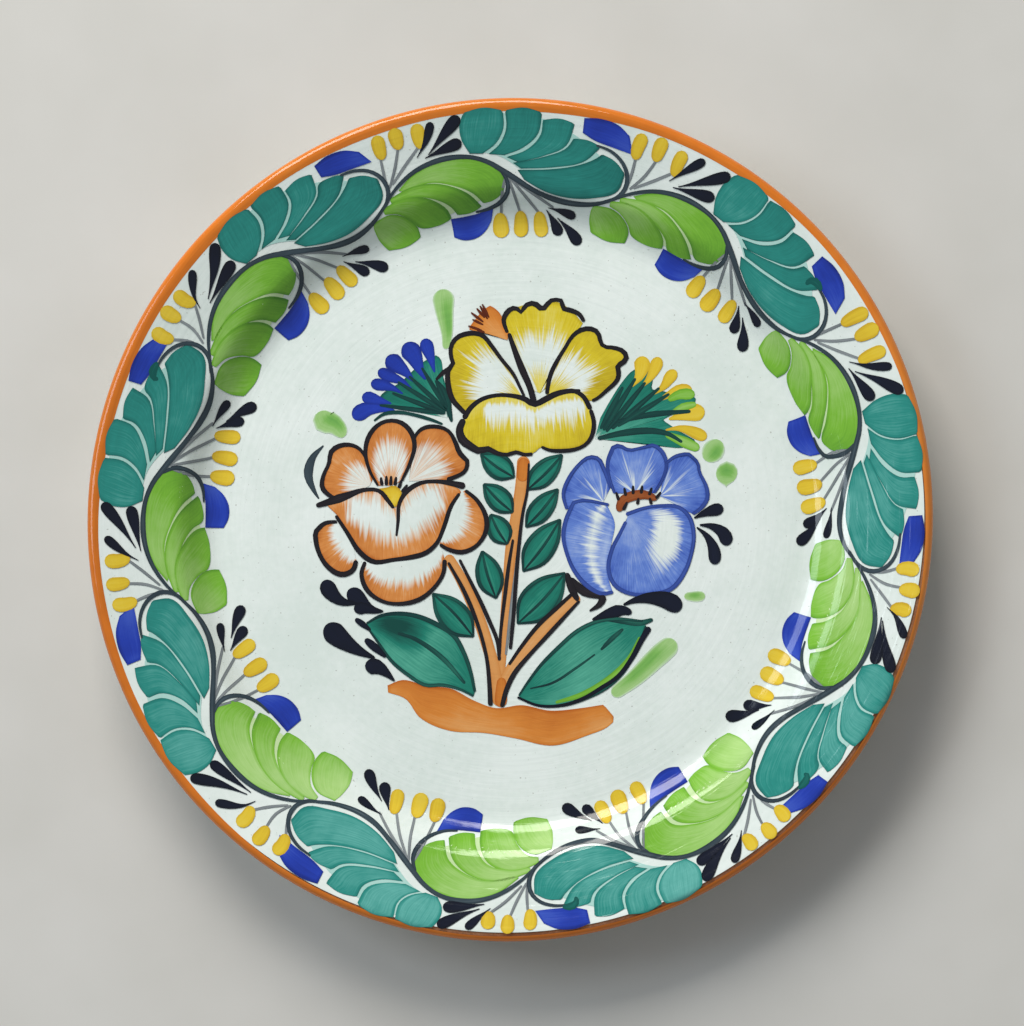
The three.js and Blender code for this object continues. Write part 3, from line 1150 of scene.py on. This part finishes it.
SOFT_DABS = [
    ([(-24, 82.5), (-23.5, 75), (-22.5, 66), (-23, 61)], [7.6, 8, 5.6, 2.4]),
    ([(-67, 39.5), (-66, 36), (-62, 34), (-59, 30)], [8, 9.6, 7, 4]),
    ([(74.5, 27.5), (72, 24), (69, 20.5)], [6.6, 8, 6.6]),
    ([(73, 14.6), (77, 15.5), (80, 14.2)], [8, 10, 9]),
    ([(36, -62.5), (44, -56.5), (52, -49), (58.5, -43.5)], [4.5, 7, 7.6, 7]),
    ([(61.5, -27.6), (65, -27.8), (69, -27.6)], [2.6, 4, 3.4]),
]
bm = new_paint()
for points, widths in SOFT_DABS:  # wet on wet, so each runs out at its edges and sinks at one end
    stroke(bm, placed(points), widths, 0,
           lambda s, t: min(1.0, 0.45 + 3.0 * min(t, 1 - t), 0.45 + 4.0 * min(s, 1 - s)),
           lambda s, t: 0.2 + 0.5 * bump(s, 0.2, 0.8) * bump(t, 0.0, 0.7))
finished("soft_green_dabs", bm, SOFT_GREEN)
print("ground and", len(STEM_LINES), "stems")

# %% [markdown]
# ## Leaves of the bouquet
# A small leaf is one film between two edges, with less pigment along its spine. The big leaf on
# the left carries a dark blotch, as if a second load of colour ran in. An ink of dark copper
# goes round every leaf and down its spine.

# %% Leaves of the bouquet
SMALL_LEAVES = [  # where each leaf leaves its stem, its tip, its width, and how it bows
    ((1.5, 15), (-10.5, 23.5), 8, 1), ((1, 2.5), (-9.5, 12.8), 7.5, 1),
    ((-1, -8.8), (-7, 2), 7.5, 1), ((-5, -28), (-10, -11), 8.5, 1),
    ((6, 10.5), (18.5, 23), 7.5, -1), ((5.5, -2.8), (17, 10.8), 7, -1),
    ((4.5, -18.5), (17.8, 0), 9.5, -1), ((2.5, -37), (19.5, -19), 12, -1),
    ((-13, -41.5), (-27.5, -26), 10, -1),
]


def leaf_edges(base, tip, width, bow):
    base, tip = Vector(base), Vector(tip)
    across = Vector((base.y - tip.y, tip.x - base.x)).normalized() * width / 2
    upper = [base, base.lerp(tip, 0.3) + across * 0.92, base.lerp(tip, 0.66) + across * 0.86, tip]
    lower = [base, base.lerp(tip, 0.3) - across * 0.92, base.lerp(tip, 0.66) - across * 0.86, tip]
    spine = [base, base.lerp(tip, 0.5) + across * 0.14 * bow, tip]
    return upper, lower, spine


def ink_along(bm, points, width, layer):
    """A line that swells in its middle."""
    shares = [0.5, 0.95, 1.1, 1.0, 0.6]
    stroke(bm, placed(points), [width * share for share in shares], layer,
           load=lambda s, t: 0.45 + 0.2 * math.sin(7 * s))


fill, ink = new_paint(), new_paint()
for leaf in SMALL_LEAVES:
    upper, lower, spine = leaf_edges(*leaf)
    mark(fill, *in_steps([placed(upper), placed(lower)], 22), 2,
         load=lambda s, t: 0.36 + 0.3 * abs(2 * t - 1) + 0.1 * s)
    ink_along(ink, upper, 1.3, 4)
    ink_along(ink, lower, 1.2, 4)
    ink_along(ink, spine, 0.9, 4)
BIG_LEFT = (
    [(-51, -36.5), (-46, -33.8), (-40, -33), (-33, -34), (-26, -37), (-20, -41), (-16.5, -47),
     (-14, -54), (-12.5, -61)],
    [(-51, -37.5), (-47, -43), (-42, -50), (-36, -55), (-30, -58.5), (-24, -58.5), (-18, -60),
     (-13, -62.5)],
)
BIG_RIGHT = (
    [(3, -62.5), (6, -58), (11, -51.5), (17, -45.5), (24, -39.5), (31, -36.3), (38, -35.5),
     (47, -36.4)],
    [(3.5, -63.5), (8, -65.5), (14, -66.4), (20, -65.8), (27, -63.5), (34, -60), (40, -54.5),
     (44, -48), (46.5, -42), (48, -38)],
)
for (upper, lower), blotch in ((BIG_LEFT, 0.75), (BIG_RIGHT, 0.1)):
    mark(fill, *in_steps([placed(upper), placed(lower)], 44), 2, load=lambda s, t: (
        0.42 + 0.16 * math.sin(6 * s + 2) - 0.12 * t
        + blotch * bump(s, 0.02, 0.5) * bump(t, -0.1, 0.75)
    ))
finished("bouquet_leaves", fill, LEAF_TEAL)
for points, width in (
    (BIG_LEFT[0], 1.6), (BIG_LEFT[1], 1.2), (BIG_RIGHT[0], 1.3), (BIG_RIGHT[1], 1.0),
    ([(-40, -40), (-34, -42), (-24, -49), (-16, -58)], 1.6),
    ([(7, -60), (15, -58), (23, -53), (30, -48)], 0.8),
    ([(32, -46.5), (36, -42.5), (40, -39)], 1.5),
):
    ink_along(ink, points, width, 4)
ink_along(ink, [(33, -35.5), (40, -36.2), (46, -37), (50.5, -35.8)], 2.2, 3)
finished("bouquet_leaf_ink", ink, DARK_GREEN)
strokes("right_leaf_light", [([(46, -42), (42, -50), (35, -57), (26, -62), (16, -65)],
                              [1.2, 2.4, 2.8, 2.2, 1])], 3, LEAF_GREEN)
print("painted", len(SMALL_LEAVES) + 2, "leaves")

# %% [markdown]
# ## Ink along the stems
# Each stem has a dark line down both of its sides, which doesn't quite follow it, and three short
# dabs thicken the join under the blue flower.

# %% Ink along the stems
STEM_INK = [
    ([(1, -7), (-0.5, -16), (-2, -28), (-3.4, -40), (-3.8, -48)], [0.9, 1.4, 1.2, 1.0]),
    ([(6.6, 20), (6, 10), (4.4, 2), (3, -10), (2, -22), (1, -36), (0, -46)], [0.7, 1.2, 1.4, 1.2]),
    ([(-22, -15), (-17, -24), (-13, -33), (-10, -42), (-8.2, -50), (-7.4, -58), (-7, -66)],
     [1.0, 1.5, 1.3, 1.4, 1.8]),
    ([(-18, -14), (-15, -20), (-11, -28), (-7.4, -36), (-4.6, -43), (-3.8, -50)], [1.0, 1.5, 1.2]),
    ([(22.5, -26), (17, -31), (10, -37.5), (4, -45), (-0.5, -51.5)], [1.2, 1.5, 1.4, 1.0]),
    ([(24.5, -29), (18, -36), (12, -42.5), (6, -49), (1.5, -54.5), (-1.2, -60), (-3, -66.5)],
     [1.0, 1.5, 1.4, 1.8, 1.6]),
    ([(20, -19), (21.5, -24), (24, -29)], [1.6, 3, 1.6]),
    ([(21, -21), (26, -25.5), (33, -27.5)], [2, 3.6, 2.2]),
    ([(33, -27), (32, -30), (28, -32.7)], [3, 2.4, 0.6]),
]
strokes("stem_ink", STEM_INK, 5, INK)
strokes("stem_grey", [([(2.4, -14), (0.5, -30), (-1.6, -48)], [0.8, 1.2, 0.7])],
        4, GREY_WASH)
print("inked", len(STEM_INK), "lines along the stems")

# %% [markdown]
# ## The yellow hibiscus
# Four petals and a stamen. The three upper petals spread from one heart, and the lowest hangs
# forward as a broad lip with a fringe of bare white. An orange tassel tops the stamen.

# %% The yellow hibiscus
TOP_PETAL = [(7.5, 46), (5, 52), (2, 60), (-1, 67), (-2.5, 71), (0, 74.5), (5, 76.5), (8.5, 77),
             (11.5, 74.8), (15, 77.8), (18, 77), (22, 74), (26, 69.5), (22, 65.5), (18, 59),
             (14.5, 53), (13, 47)]
RIGHT_PETAL = [(13, 44.5), (13.5, 48), (14.5, 52), (17, 57), (19.5, 61), (22, 65), (24.5, 67),
               (28, 67.8), (31, 66.5), (32, 63.5), (36, 61), (39.5, 60), (41.5, 58), (40.5, 56),
               (38, 54.5), (38.5, 51.5), (38, 49.5), (34, 45.5), (31, 43), (29, 42)]
LEFT_PETAL = [(5, 43.5), (3.5, 47), (1, 52), (-3, 57), (-7, 62.5), (-9.5, 65.5), (-12, 66.5),
              (-16, 66.3), (-19, 65), (-21, 62), (-21, 58), (-20.3, 56), (-22, 53.5), (-22, 48),
              (-20.5, 43), (-17.5, 39.5), (-16, 38)]
LIP_TOP = [(-16.5, 36), (-14, 40), (-10, 43), (-5, 44.3), (0, 44.2), (5, 43), (8.5, 41),
           (12, 42.5), (16, 44.5), (20, 45.5), (23, 45.5), (26, 43.5), (28.5, 39)]
LIP_FOOT = [(-17.5, 32), (-17, 29), (-14, 26.5), (-11, 24.8), (-8, 25.5), (-5, 24), (-1, 23.3),
            (2, 24.2), (5, 23.3), (8, 23.5), (11, 26), (14, 24.8), (18, 24.5), (23, 25),
            (26.5, 26.5), (28.5, 29), (29.5, 34)]


def lip_cover(s, t):
    """Yellow at the rolled top edge and over the lower half, with a white fringe between."""
    fringe = 0.2 < s < 0.9
    return min(max(0.5 + (0.14 - t) / 0.2, 0.5 + (t - 0.46) / 0.7, 0.0 if fringe else 1.0), 1.0)


YELLOW_PETALS = [
    ([(10.5, 45)], TOP_PETAL, 1, bare_middle(0.24, 0.64)),
    ([(4, 43.5)], LEFT_PETAL, 2, bare_middle(0.2, 0.68)),
    ([(13, 44)], RIGHT_PETAL, 2, bare_middle(0.3, 0.62)),
    (LIP_TOP, LIP_FOOT, 3, lip_cover),
]
petals("hibiscus_petals", YELLOW_PETALS, PETAL_YELLOW)
YELLOW_INK = [
    ([(-1, 66.5), (-2.3, 71.5), (0, 75), (2, 75.6), (4, 73.8), (5.5, 76.3), (8.5, 77.3),
      (11.5, 74.6), (13, 76.5), (15, 78.2), (18, 78), (19, 75), (22, 74.2), (24.5, 73),
      (26.3, 70.3)], [1.2, 1.9, 1.5, 2.1, 1.4, 1.8, 1.3]),
    (RIGHT_PETAL[:10] + [(33, 61.5)] + RIGHT_PETAL[10:], [1.4, 1.6, 1.3, 1.8, 1.4, 1.9, 1.5, 1.1]),
    ([(14, 44), (18, 45.2), (25, 45.8)], [1.6, 1.7, 1.0]),
    ([(5, 43.8), *LEFT_PETAL[1:]], [1.0, 1.3, 1.5, 1.8, 1.5, 2.0, 1.6]),
    ([(-26.5, 50), (-24, 52.5), (-21, 54.8)], [0.8, 1.6, 1.0]),
    (LIP_TOP, [2.0, 1.6, 1.4, 2.0, 2.2, 1.6, 1.8]),
    ([(-16.5, 36), (-18, 32), (-17, 28.6), (-14, 26.2), (-11, 24.6), (-8, 25.3), (-5, 23.8),
      (-1, 23.1), (2, 24), (5, 23.1), (8, 23.3)], [2.2, 3.2, 2.4, 1.5, 1.4, 1.2]),
    ([(11, 25.8), (14, 24.6), (18, 24.3), (23, 24.8), (26.5, 26.3), (28.7, 29), (29.7, 34),
      (28.5, 39)], [1.0, 1.5, 1.3, 1.6, 1.4]),
    ([(8.5, 41.5), (7, 47), (4, 54), (1, 62), (-0.5, 66.5)], [2.2, 2.2, 2.5, 2.0, 1.4]),
]
strokes("hibiscus_ink", YELLOW_INK, 5, INK)
petals("hibiscus_tassel", [([(-1, 64)], [(-0.5, 67), (-4, 74), (-7, 76.5), (-10, 74.5),
                                          (-12, 72), (-14, 69.5), (-15, 68), (-11, 67), (-7, 66),
                                          (-3, 64.5)], 4, solid)], ORANGE)
TASSEL_TICKS = [((-7.5, 72), (-10, 77)), ((-8, 71.5), (-10.8, 76.4)), ((-9, 72), (-12, 75.5)),
                ((-9.5, 70.5), (-14, 74)), ((-9.5, 69.5), (-13.5, 71.5)),
                ((-10, 67.5), (-15, 69.2)), ((-9, 66.8), (-12, 67.8))]
strokes("hibiscus_ticks", [(list(tick), [0.5, 1.0, 0.5]) for tick in TASSEL_TICKS], 6, ORANGE_INK,
        load=lambda s, t: 0.8)
print("the hibiscus has", len(YELLOW_PETALS), "petals")

# %% [markdown]
# ## The orange flower
# Seven petals round a small yellow heart, drawn with the brush pressed at the outline and flicked
# in towards the heart.

# %% The orange flower
ORANGE_PETALS = [
    ([(-42.5, 12.5)], [(-47, 12.5), (-50, 18), (-51.5, 25), (-49.5, 31.5), (-45, 35.2),
                       (-39.5, 35.2), (-35.6, 32), (-34, 27), (-35.4, 21), (-38.6, 14)],
     2, bare_middle(0.3, 0.66, least=0.34)),
    ([(-50, 12.5)], [(-49, 14.5), (-51, 22), (-54, 26), (-59, 27.2), (-63.5, 25), (-64.5, 20.5),
                     (-66.5, 16), (-66.8, 12), (-64, 9), (-60.5, 7.4)],
     1, from_edge(0.5, least=0.34)),
    ([(-36, 14)], [(-34.5, 24), (-33.5, 30.5), (-31, 32.8), (-26.5, 33.4), (-22, 31.8),
                   (-19.6, 28), (-18, 24), (-15, 20.8), (-16, 17.5), (-20, 15.2), (-22.5, 14.4)],
     1, from_edge(0.64, least=0.38)),
    ([(-17.5, 9.6), (-20.5, 4), (-22.5, -2), (-24.5, -7)],
     [(-16, 10.6), (-11.8, 7), (-8.6, 1), (-8.6, -4), (-12, -9.2), (-17, -11.4), (-22, -10.4),
      (-25, -8.6)], 1, from_edge(0.5)),
    ([(-51.5, -14), (-46, -15.5), (-40, -14.5), (-34, -14), (-28, -12), (-24.5, -10)],
     [(-51.5, -14.5), (-52.8, -19), (-50.5, -25), (-45, -28.8), (-38.5, -29.6), (-32, -28),
      (-27, -24), (-23.8, -19), (-23.2, -14)], 1, from_edge(0.55)),
    ([(-62, -0.5), (-58.5, -5), (-55.5, -10), (-55, -13)],
     [(-61.5, -0.2), (-66, -0.8), (-69.4, -4), (-68.4, -10), (-65, -16), (-60, -19),
      (-56, -17.6), (-54.6, -14)], 1, from_edge(0.46)),
]
FRONT_TOP = [(-66, 7), (-63.5, 6.6), (-58, 9), (-52, 10.8), (-47, 10.4), (-44.5, 8), (-41, 4),
             (-38.5, 8.5), (-34, 12.5), (-29, 13.8), (-23, 13), (-18, 11)]
FRONT_FOOT = [(-64.5, 5), (-61, 1.5), (-57, -5), (-52.5, -11), (-47, -14.5), (-41, -13.5),
              (-36, -13), (-31, -12), (-26, -8.6), (-23, -3), (-21, 4), (-17.5, 10)]


def front_cover(s, t):
    at_sides = 0.5 + max(0.16 - s, s - 0.86) / 0.16
    return min(max(bare_middle(0.1, 0.66)(s, t), at_sides), 1.0)


outlines = [outline for heart, outline, layer, cover in ORANGE_PETALS]
top_edge, left_edge, right_edge, low_right_edge, low_edge, low_left_edge = outlines
ORANGE_PETALS.append((FRONT_TOP, FRONT_FOOT, 3, front_cover))
petals("orange_flower_petals", ORANGE_PETALS, PETAL_ORANGE)
petals("orange_flower_heart", [([(-42.5, 8)], [(-46.5, 11.5), (-44, 11.8), (-41, 12.5),
                                                (-38.5, 10.5), (-39, 7.5), (-41, 4.5), (-44, 7.5),
                                                (-46.5, 11.3)], 4, solid)],
       ANTIMONY)
ORANGE_LINES = [
    (top_edge, [0.8, 1.3, 1.7, 1.4, 1.8, 1.4, 0.9]),
    (left_edge[1:], [0.9, 1.4, 1.8, 1.3, 1.8, 1.2]),
    ([(-34.5, 27), *right_edge[1:]], [0.8, 1.5, 1.3, 1.8, 1.4, 1.6]),
    (low_right_edge, [1.2, 1.5, 1.8, 1.4, 1.7, 1.2]),
    (low_edge, [1.3, 1.7, 1.3, 1.7, 1.4, 1.6]),
    (low_left_edge, [1.2, 1.8, 1.6, 2.0, 1.6]),
    ([(-69, 5.5), (-64, 7), (-58, 9), (-52, 11), (-46.5, 10.6), (-43.6, 7.4), (-41.4, 4.4)],
     [1.6, 3.2, 1.6, 1.4, 1.6, 1.2]),
    ([(-40.4, -5.6), (-39.8, 0), (-39.4, 6), (-36.5, 10.6), (-31.5, 13.4), (-26, 13.8),
      (-20.5, 13), (-16, 12)], [0.8, 1.3, 1.4, 1.8, 1.4, 1.6, 2.6]),
    ([(-62, 2), (-58, -4), (-53.5, -11), (-48.5, -14.6), (-42, -14), (-36, -13.2), (-30, -11.6),
      (-26, -8), (-23.4, -2), (-21, 5), (-18, 9.5)], [1.2, 1.5, 1.9, 1.4, 1.8, 1.4, 1.5, 1.1]),
]
TICKS = [((-45.5, 12.5), (-46, 15.5)), ((-44, 12.5), (-44, 16)), ((-42.5, 12.5), (-42.3, 16)),
         ((-41, 12.5), (-40.5, 15.6)), ((-39.6, 11.5), (-38.6, 14.5)), ((-38.5, 10), (-36.5, 12.8))]
ORANGE_LINES += [(list(tick), [1.3, 1.2, 0.7]) for tick in TICKS]
strokes("orange_flower_ink", ORANGE_LINES, 5, INK)
strokes("grey_crescent", [([(-66.4, 27), (-70.4, 22.5), (-71.8, 16.5), (-69.8, 11), (-68, 8)],
                           [0.5, 3.0, 3.4, 2.2, 0.5])], 0, VINE_INK)
print("the orange flower has", len(ORANGE_PETALS), "petals")

# %% [markdown]
# ## The blue flower
# Cobalt let down with water. The petals are washed almost solid, and the outline is only a
# darker pull of the same blue. The heart is a small arc of brown with dark ticks over it.

# %% The blue flower


def mottled(s, t):
    return min(1.0, 0.62 + 0.4 * math.sin(23 * s + 3 * t) * (1.15 - t) + 0.3 * t)


def fronted(s, t):
    """Bare streaks high up under its rim, and washed blue elsewhere."""
    return 1.0 - 0.95 * bump(s, 0.08, 0.62) * bump(t, 0.3, 0.92)


BLUE_PETALS = [
    ([(33, 6)], [(20, 3.5), (18.8, 9), (20.5, 14), (24, 19), (28, 22), (31.5, 21.5), (33.5, 17),
                 (35.5, 11)], 1, mottled),
    ([(53, 8)], [(55, 19.5), (58.5, 22), (63, 23), (66.5, 19.5), (67, 16.5), (69.5, 11),
                 (69.8, 7), (67, 3), (64.5, 1.5)], 1, mottled),
    ([(44, 9)], [(37, 9), (35, 15), (34.5, 20), (36.5, 25.5), (38.5, 26), (42, 24.4), (46, 25),
                 (51, 26.2), (54, 23.5), (55.4, 19), (54, 14), (51, 9)], 2, mottled),
    ([(34.5, 4.5), (37, -1.5), (36, -8), (34.5, -15), (35, -22), (36.5, -26.5)],
     [(32, 6), (26, 6.6), (22.5, 6), (19.8, 0), (18.8, -6), (20, -12), (22.5, -18), (27, -23.5),
      (32.5, -26.5)], 2, bare_middle(0.3, 0.5, 0.5)),
    ([(41.5, 0.5)], [(42, 2.5), (48, 3.8), (54, 4.5), (59.5, 4), (63.4, 0.5), (65, -6),
                     (64, -13), (61.5, -19.5), (57, -25), (50, -26.8), (42, -26.5), (37, -23.5),
                     (34.8, -18), (36, -11), (39, -5), (41, -1)], 3, fronted),
]
petals("blue_flower_petals", BLUE_PETALS, FLOWER_BLUE)
strokes("blue_flower_heart", [([(38.5, 2.5), (39.5, 6), (43, 8), (48, 8.4), (52, 6.8)],
                               [2.4, 3.4, 3.6, 3.4, 2])], 5, HEART_BROWN)
outlines = [outline for heart, outline, layer, cover in BLUE_PETALS]
back_left_edge, back_right_edge, back_edge, front_left_edge, front_edge = outlines
BLUE_LINES = [
    (back_left_edge, [1.0, 1.4, 1.2, 1.5, 1.1]),
    (back_edge, [1.0, 1.2, 1.5, 1.1, 1.5, 1.2, 1.0]),
    (back_right_edge, [1.0, 1.3, 1.1, 1.5, 1.2]),
    ([(35, 5), *front_left_edge[1:], (36.5, -26)], [1.0, 1.2, 1.5, 1.3, 1.6, 1.2]),
    ([(41, 1.5), *front_edge[1:]], [1.4, 1.2, 1.5, 1.3, 1.6, 1.3, 1.5, 1.4, 1.2]),
]
strokes("blue_flower_lines", BLUE_LINES, 5, BLUE_INK)
HEART_TICKS = [((38.5, 6.5), (37.5, 9.5)), ((41, 8), (40.4, 11)), ((43.6, 8.6), (43.5, 11.8)),
               ((46.4, 8.8), (46.8, 11.8)), ((49.2, 8.2), (50.2, 11)), ((51.6, 7), (53.4, 9.4)),
               ((40, 3), (41.5, 6)), ((45, 5), (45.5, 7.4)), ((50, 5), (49.4, 7.4))]
strokes("blue_flower_ticks", [(list(tick), [1.2, 1.1, 0.7]) for tick in HEART_TICKS], 6, INK)
print("the blue flower has", len(BLUE_PETALS), "petals")

# %% [markdown]
# ## Drops, bud and fan
# The gaps round the flowers are filled with quick marks: ink drops, a spray of cobalt pulls over
# a teal fan on the left, and a green fan with yellow buds on the right.

# %% Drops, bud and fan
NAVY_DROPS = [
    drop([(-66, -21), (-64, -25), (-60, -28.5), (-54, -29.5)], 6),
    drop([(-57.5, -24.5), (-54, -27.5), (-50, -31), (-45, -32.3)], 6),
    drop([(-65.5, -37), (-60, -42), (-54, -46), (-48, -48.8)], 8),
    drop([(-51.5, -51.5), (-47, -52), (-43.5, -54.5), (-41, -57)], 6),
    drop([(60, -32.8), (57, -29.8), (50, -28.2), (44, -29), (40, -30.6)], 6.5),
    drop([(75.5, 3.6), (70, 2.2), (65, 0)], 4.6),
    drop([(77, -9.8), (75.6, -5.6), (71.5, -3), (67, -2.4)], 5),
    drop([(72.5, -16.5), (72, -11), (69.6, -6.4), (66, -3.2)], 4.6),
    ([(-55.5, -31.5), (-52, -31), (-48, -32), (-45.5, -32.3)], [3.6, 4.5, 3, 1]),
    ([(-55, -34.8), (-52, -37), (-49.5, -39)], [1.6, 2.4, 1]),
    ([(-51.5, -42), (-48, -45), (-44, -48.5)], [2, 3.2, 1.2]),
    ([(43, -33.5), (40, -32.5), (35, -33.5), (29, -35.8)], [2, 4.5, 3, 0.8]),
    ([(49.3, -38.5), (46.5, -43), (43, -49.5), (38, -56), (32, -60), (26, -63.5), (18, -66),
      (10, -66), (2.5, -63)], [2.2, 1.6, 1.4, 1.1, 0.8]),
]
strokes("navy_drops", NAVY_DROPS, 5, NAVY_INK, load=lambda s, t: 0.5 + 0.2 * s)
LEFT_HEART, RIGHT_HEART = (-22.5, 36.5), (30, 28.5)
LEFT_FAN = [(-46.5, 41), (-46.5, 44), (-43.5, 46.8), (-39.5, 49), (-34, 54), (-31, 56.5),
            (-26, 59), (-24.5, 57), (-24, 52), (-22, 45), (-21, 38)]
petals("left_fan", [([LEFT_HEART], LEFT_FAN, 0, from_edge(0.1, 0.5))], LEAF_TEAL)
COBALT_PULLS = [
    ([(-28.2, 57.5), (-30.6, 64.8)], 5), ([(-32.5, 54.5), (-34.5, 59), (-37.5, 63.2)], 7.4),
    ([(-37.5, 53.2), (-41, 56), (-43.8, 58.6)], 6.6),
    ([(-38.5, 49.6), (-43, 51.5), (-47, 53.6)], 4.4),
    ([(-42.5, 47.6), (-46, 48.4), (-49.6, 49.2)], 4.4),
    ([(-47, 43), (-50, 43.8), (-52.8, 44.2)], 4.8), ([(-46, 40), (-51, 39.8), (-56, 36.8)], 6),
]
strokes("bud_cobalt", [bud(points, width, LEFT_HEART) for points, width in COBALT_PULLS],
        1, COBALT, load=lambda s, t: 0.42 + 0.25 * s)
LEFT_RAYS = [((-23, 38), (-46.5, 41.2)), ((-23, 38), (-42, 45.5)), ((-23, 38.6), (-40, 49.5)),
             ((-22.6, 39), (-36, 51.5)), ((-22.4, 39.4), (-31.5, 54.5)), ((-22.4, 40), (-26.5, 50))]
bm = new_paint()
for start, end in LEFT_RAYS:
    stroke(bm, placed([start, end]), [0.9, 1.7, 1.5, 0.8], 3)
stroke(bm, placed([(-20.8, 35), (-22, 40), (-23.5, 46), (-26.5, 50)]), [1, 3, 2, 1], 3)
stroke(bm, placed([(-48.5, 35.6), (-45, 38), (-40, 38.6), (-34, 37.6), (-28, 35.8), (-24, 34.2)]),
       [0.7, 1.4, 1.2, 1.3, 0.8], 3)
finished("left_fan_rays", bm, DARK_GREEN)

RIGHT_FAN = [(32, 36), (36, 43), (40, 49), (44, 53), (48, 53.5), (50.5, 51), (50, 46), (58, 44.5),
             (66, 43), (65, 39), (58, 37), (54, 35), (60, 31), (66, 27.5), (62, 25.2), (50, 26.4),
             (38, 27.6)]
petals("right_fan", [([RIGHT_HEART], RIGHT_FAN, 0, from_edge(0.05, 0.5))], LEAF_TEAL)
YELLOW_BUDS = [([(46, 51), (47.2, 57.8)], 6), ([(49.5, 50), (51.6, 54), (52.8, 57.4)], 4.6),
               ([(54.5, 47), (56.5, 50), (58.8, 52.6)], 4.4),
               ([(61, 36.5), (65, 37.4), (69, 38)], 6.4),
               ([(60, 32), (65, 30.6), (69.6, 28.4)], 4.4),
               ([(56, 43.8), (60, 45.6), (64.5, 45.4)], 4.4)]
strokes("right_buds", [bud(points, width, RIGHT_HEART) for points, width in YELLOW_BUDS],
        1, ANTIMONY)
bm = new_paint()
RIGHT_RAYS = [((32, 32), (40, 47)), ((33, 31.5), (44.5, 50)), ((34, 31), (48, 48.5)),
              ((36, 32), (53, 46.5)), ((38, 33), (56.5, 44.3))]
for start, end in RIGHT_RAYS:
    stroke(bm, placed([start, end]), [1.0, 2.0, 1.8, 0.9], 3, load=lambda s, t: 0.45)
stroke(bm, placed([(38, 34.5), (50, 37), (64, 38)]), [1.2, 2.2, 1.2], 3)
stroke(bm, placed([(31, 28.6), (40, 30.5), (50, 31.2), (56, 30), (61, 27)]), [1.4, 2.4, 2.2, 1], 3)
finished("right_fan_rays", bm, DARK_GREEN)
strokes("right_fan_tips", [([(56, 42), (60, 44), (65.5, 44)], [2, 4.2, 3.4]),
                           ([(57, 37), (61, 39.4), (66, 40.6)], [1.6, 3, 2]),
                           ([(55, 30), (61, 27.4), (67, 24.6)], [2, 4, 3])],
        2, LEAF_GREEN, load=lambda s, t: 0.35)
print("painted", len(NAVY_DROPS), "drops and two fans")

# %% [markdown]
# ## Floor and light
# A pale, matt floor lets the colours speak. The main light is a large soft box beyond the top of
# the plate, under 40 degrees up. It leaves the well's upper wall in shade and draws a highlight
# along its lower wall, where the rings in the glaze break it up. It stands nearly three metres
# off, so that it lights the top and the foot of the plate almost alike. A weaker box on the left
# and a pale sky fill in the rest. Colours are shown without a film-like curve, so that a
# pigment's code comes out as that colour. The pigments and the lights were tuned together, over
# several rounds, so neither stands for a measured value.

# %% Floor
floor_bm = bmesh.new()
bmesh.ops.create_grid(floor_bm, x_segments=8, y_segments=8, size=1.5)
floor_mesh = bpy.data.meshes.new("floor")
floor_bm.to_mesh(floor_mesh)
floor_bm.free()
floor = bpy.data.objects.new("floor", floor_mesh)
bpy.context.scene.collection.objects.link(floor)
floor_finish = new_material("pale_matt_floor")
tree = floor_finish.node_tree
shade = remap(tree, noise(tree, place_of(tree), 60, detail=3), 0.3, 0.7)
tone = blend(tree, shade, linear("#d3d0ca"), linear("#dad7d2"))
matt = add(tree, "ShaderNodeBsdfPrincipled", {"Base Color": tone, "Roughness": 0.85})
add(tree, "ShaderNodeOutputMaterial", {"Surface": matt.outputs[0]})
floor_mesh.materials.append(floor_finish)
print("floor", floor.dimensions[:])

# %% Light


def soft_box(name, place, size, power, colour="#ffffff"):
    """A square soft box that faces the middle of the plate."""
    light = bpy.data.lights.new(name, "AREA")
    light.size, light.energy, light.color = size, power, linear(colour)[:3]
    lamp = bpy.data.objects.new(name, light)
    bpy.context.scene.collection.objects.link(lamp)
    lamp.location = place
    lamp.rotation_euler = Vector(place).to_track_quat("Z", "Y").to_euler()
    return lamp


soft_box("key", (-0.72, 2.24, 1.72), 1.6, 72.0, "#fffbf4")
soft_box("fill", (-2.2, 0.8, 2.0), 1.4, 26.0, "#e8f5ff")
sky = bpy.data.worlds.new("sky")
sky.use_nodes = True
sky.node_tree.nodes["Background"].inputs[0].default_value = linear("#dfe6ea")
sky.node_tree.nodes["Background"].inputs[1].default_value = 0.33
bpy.context.scene.world = sky
bpy.context.scene.view_settings.view_transform = "Standard"
print("lit with", len(bpy.data.lights), "soft boxes")
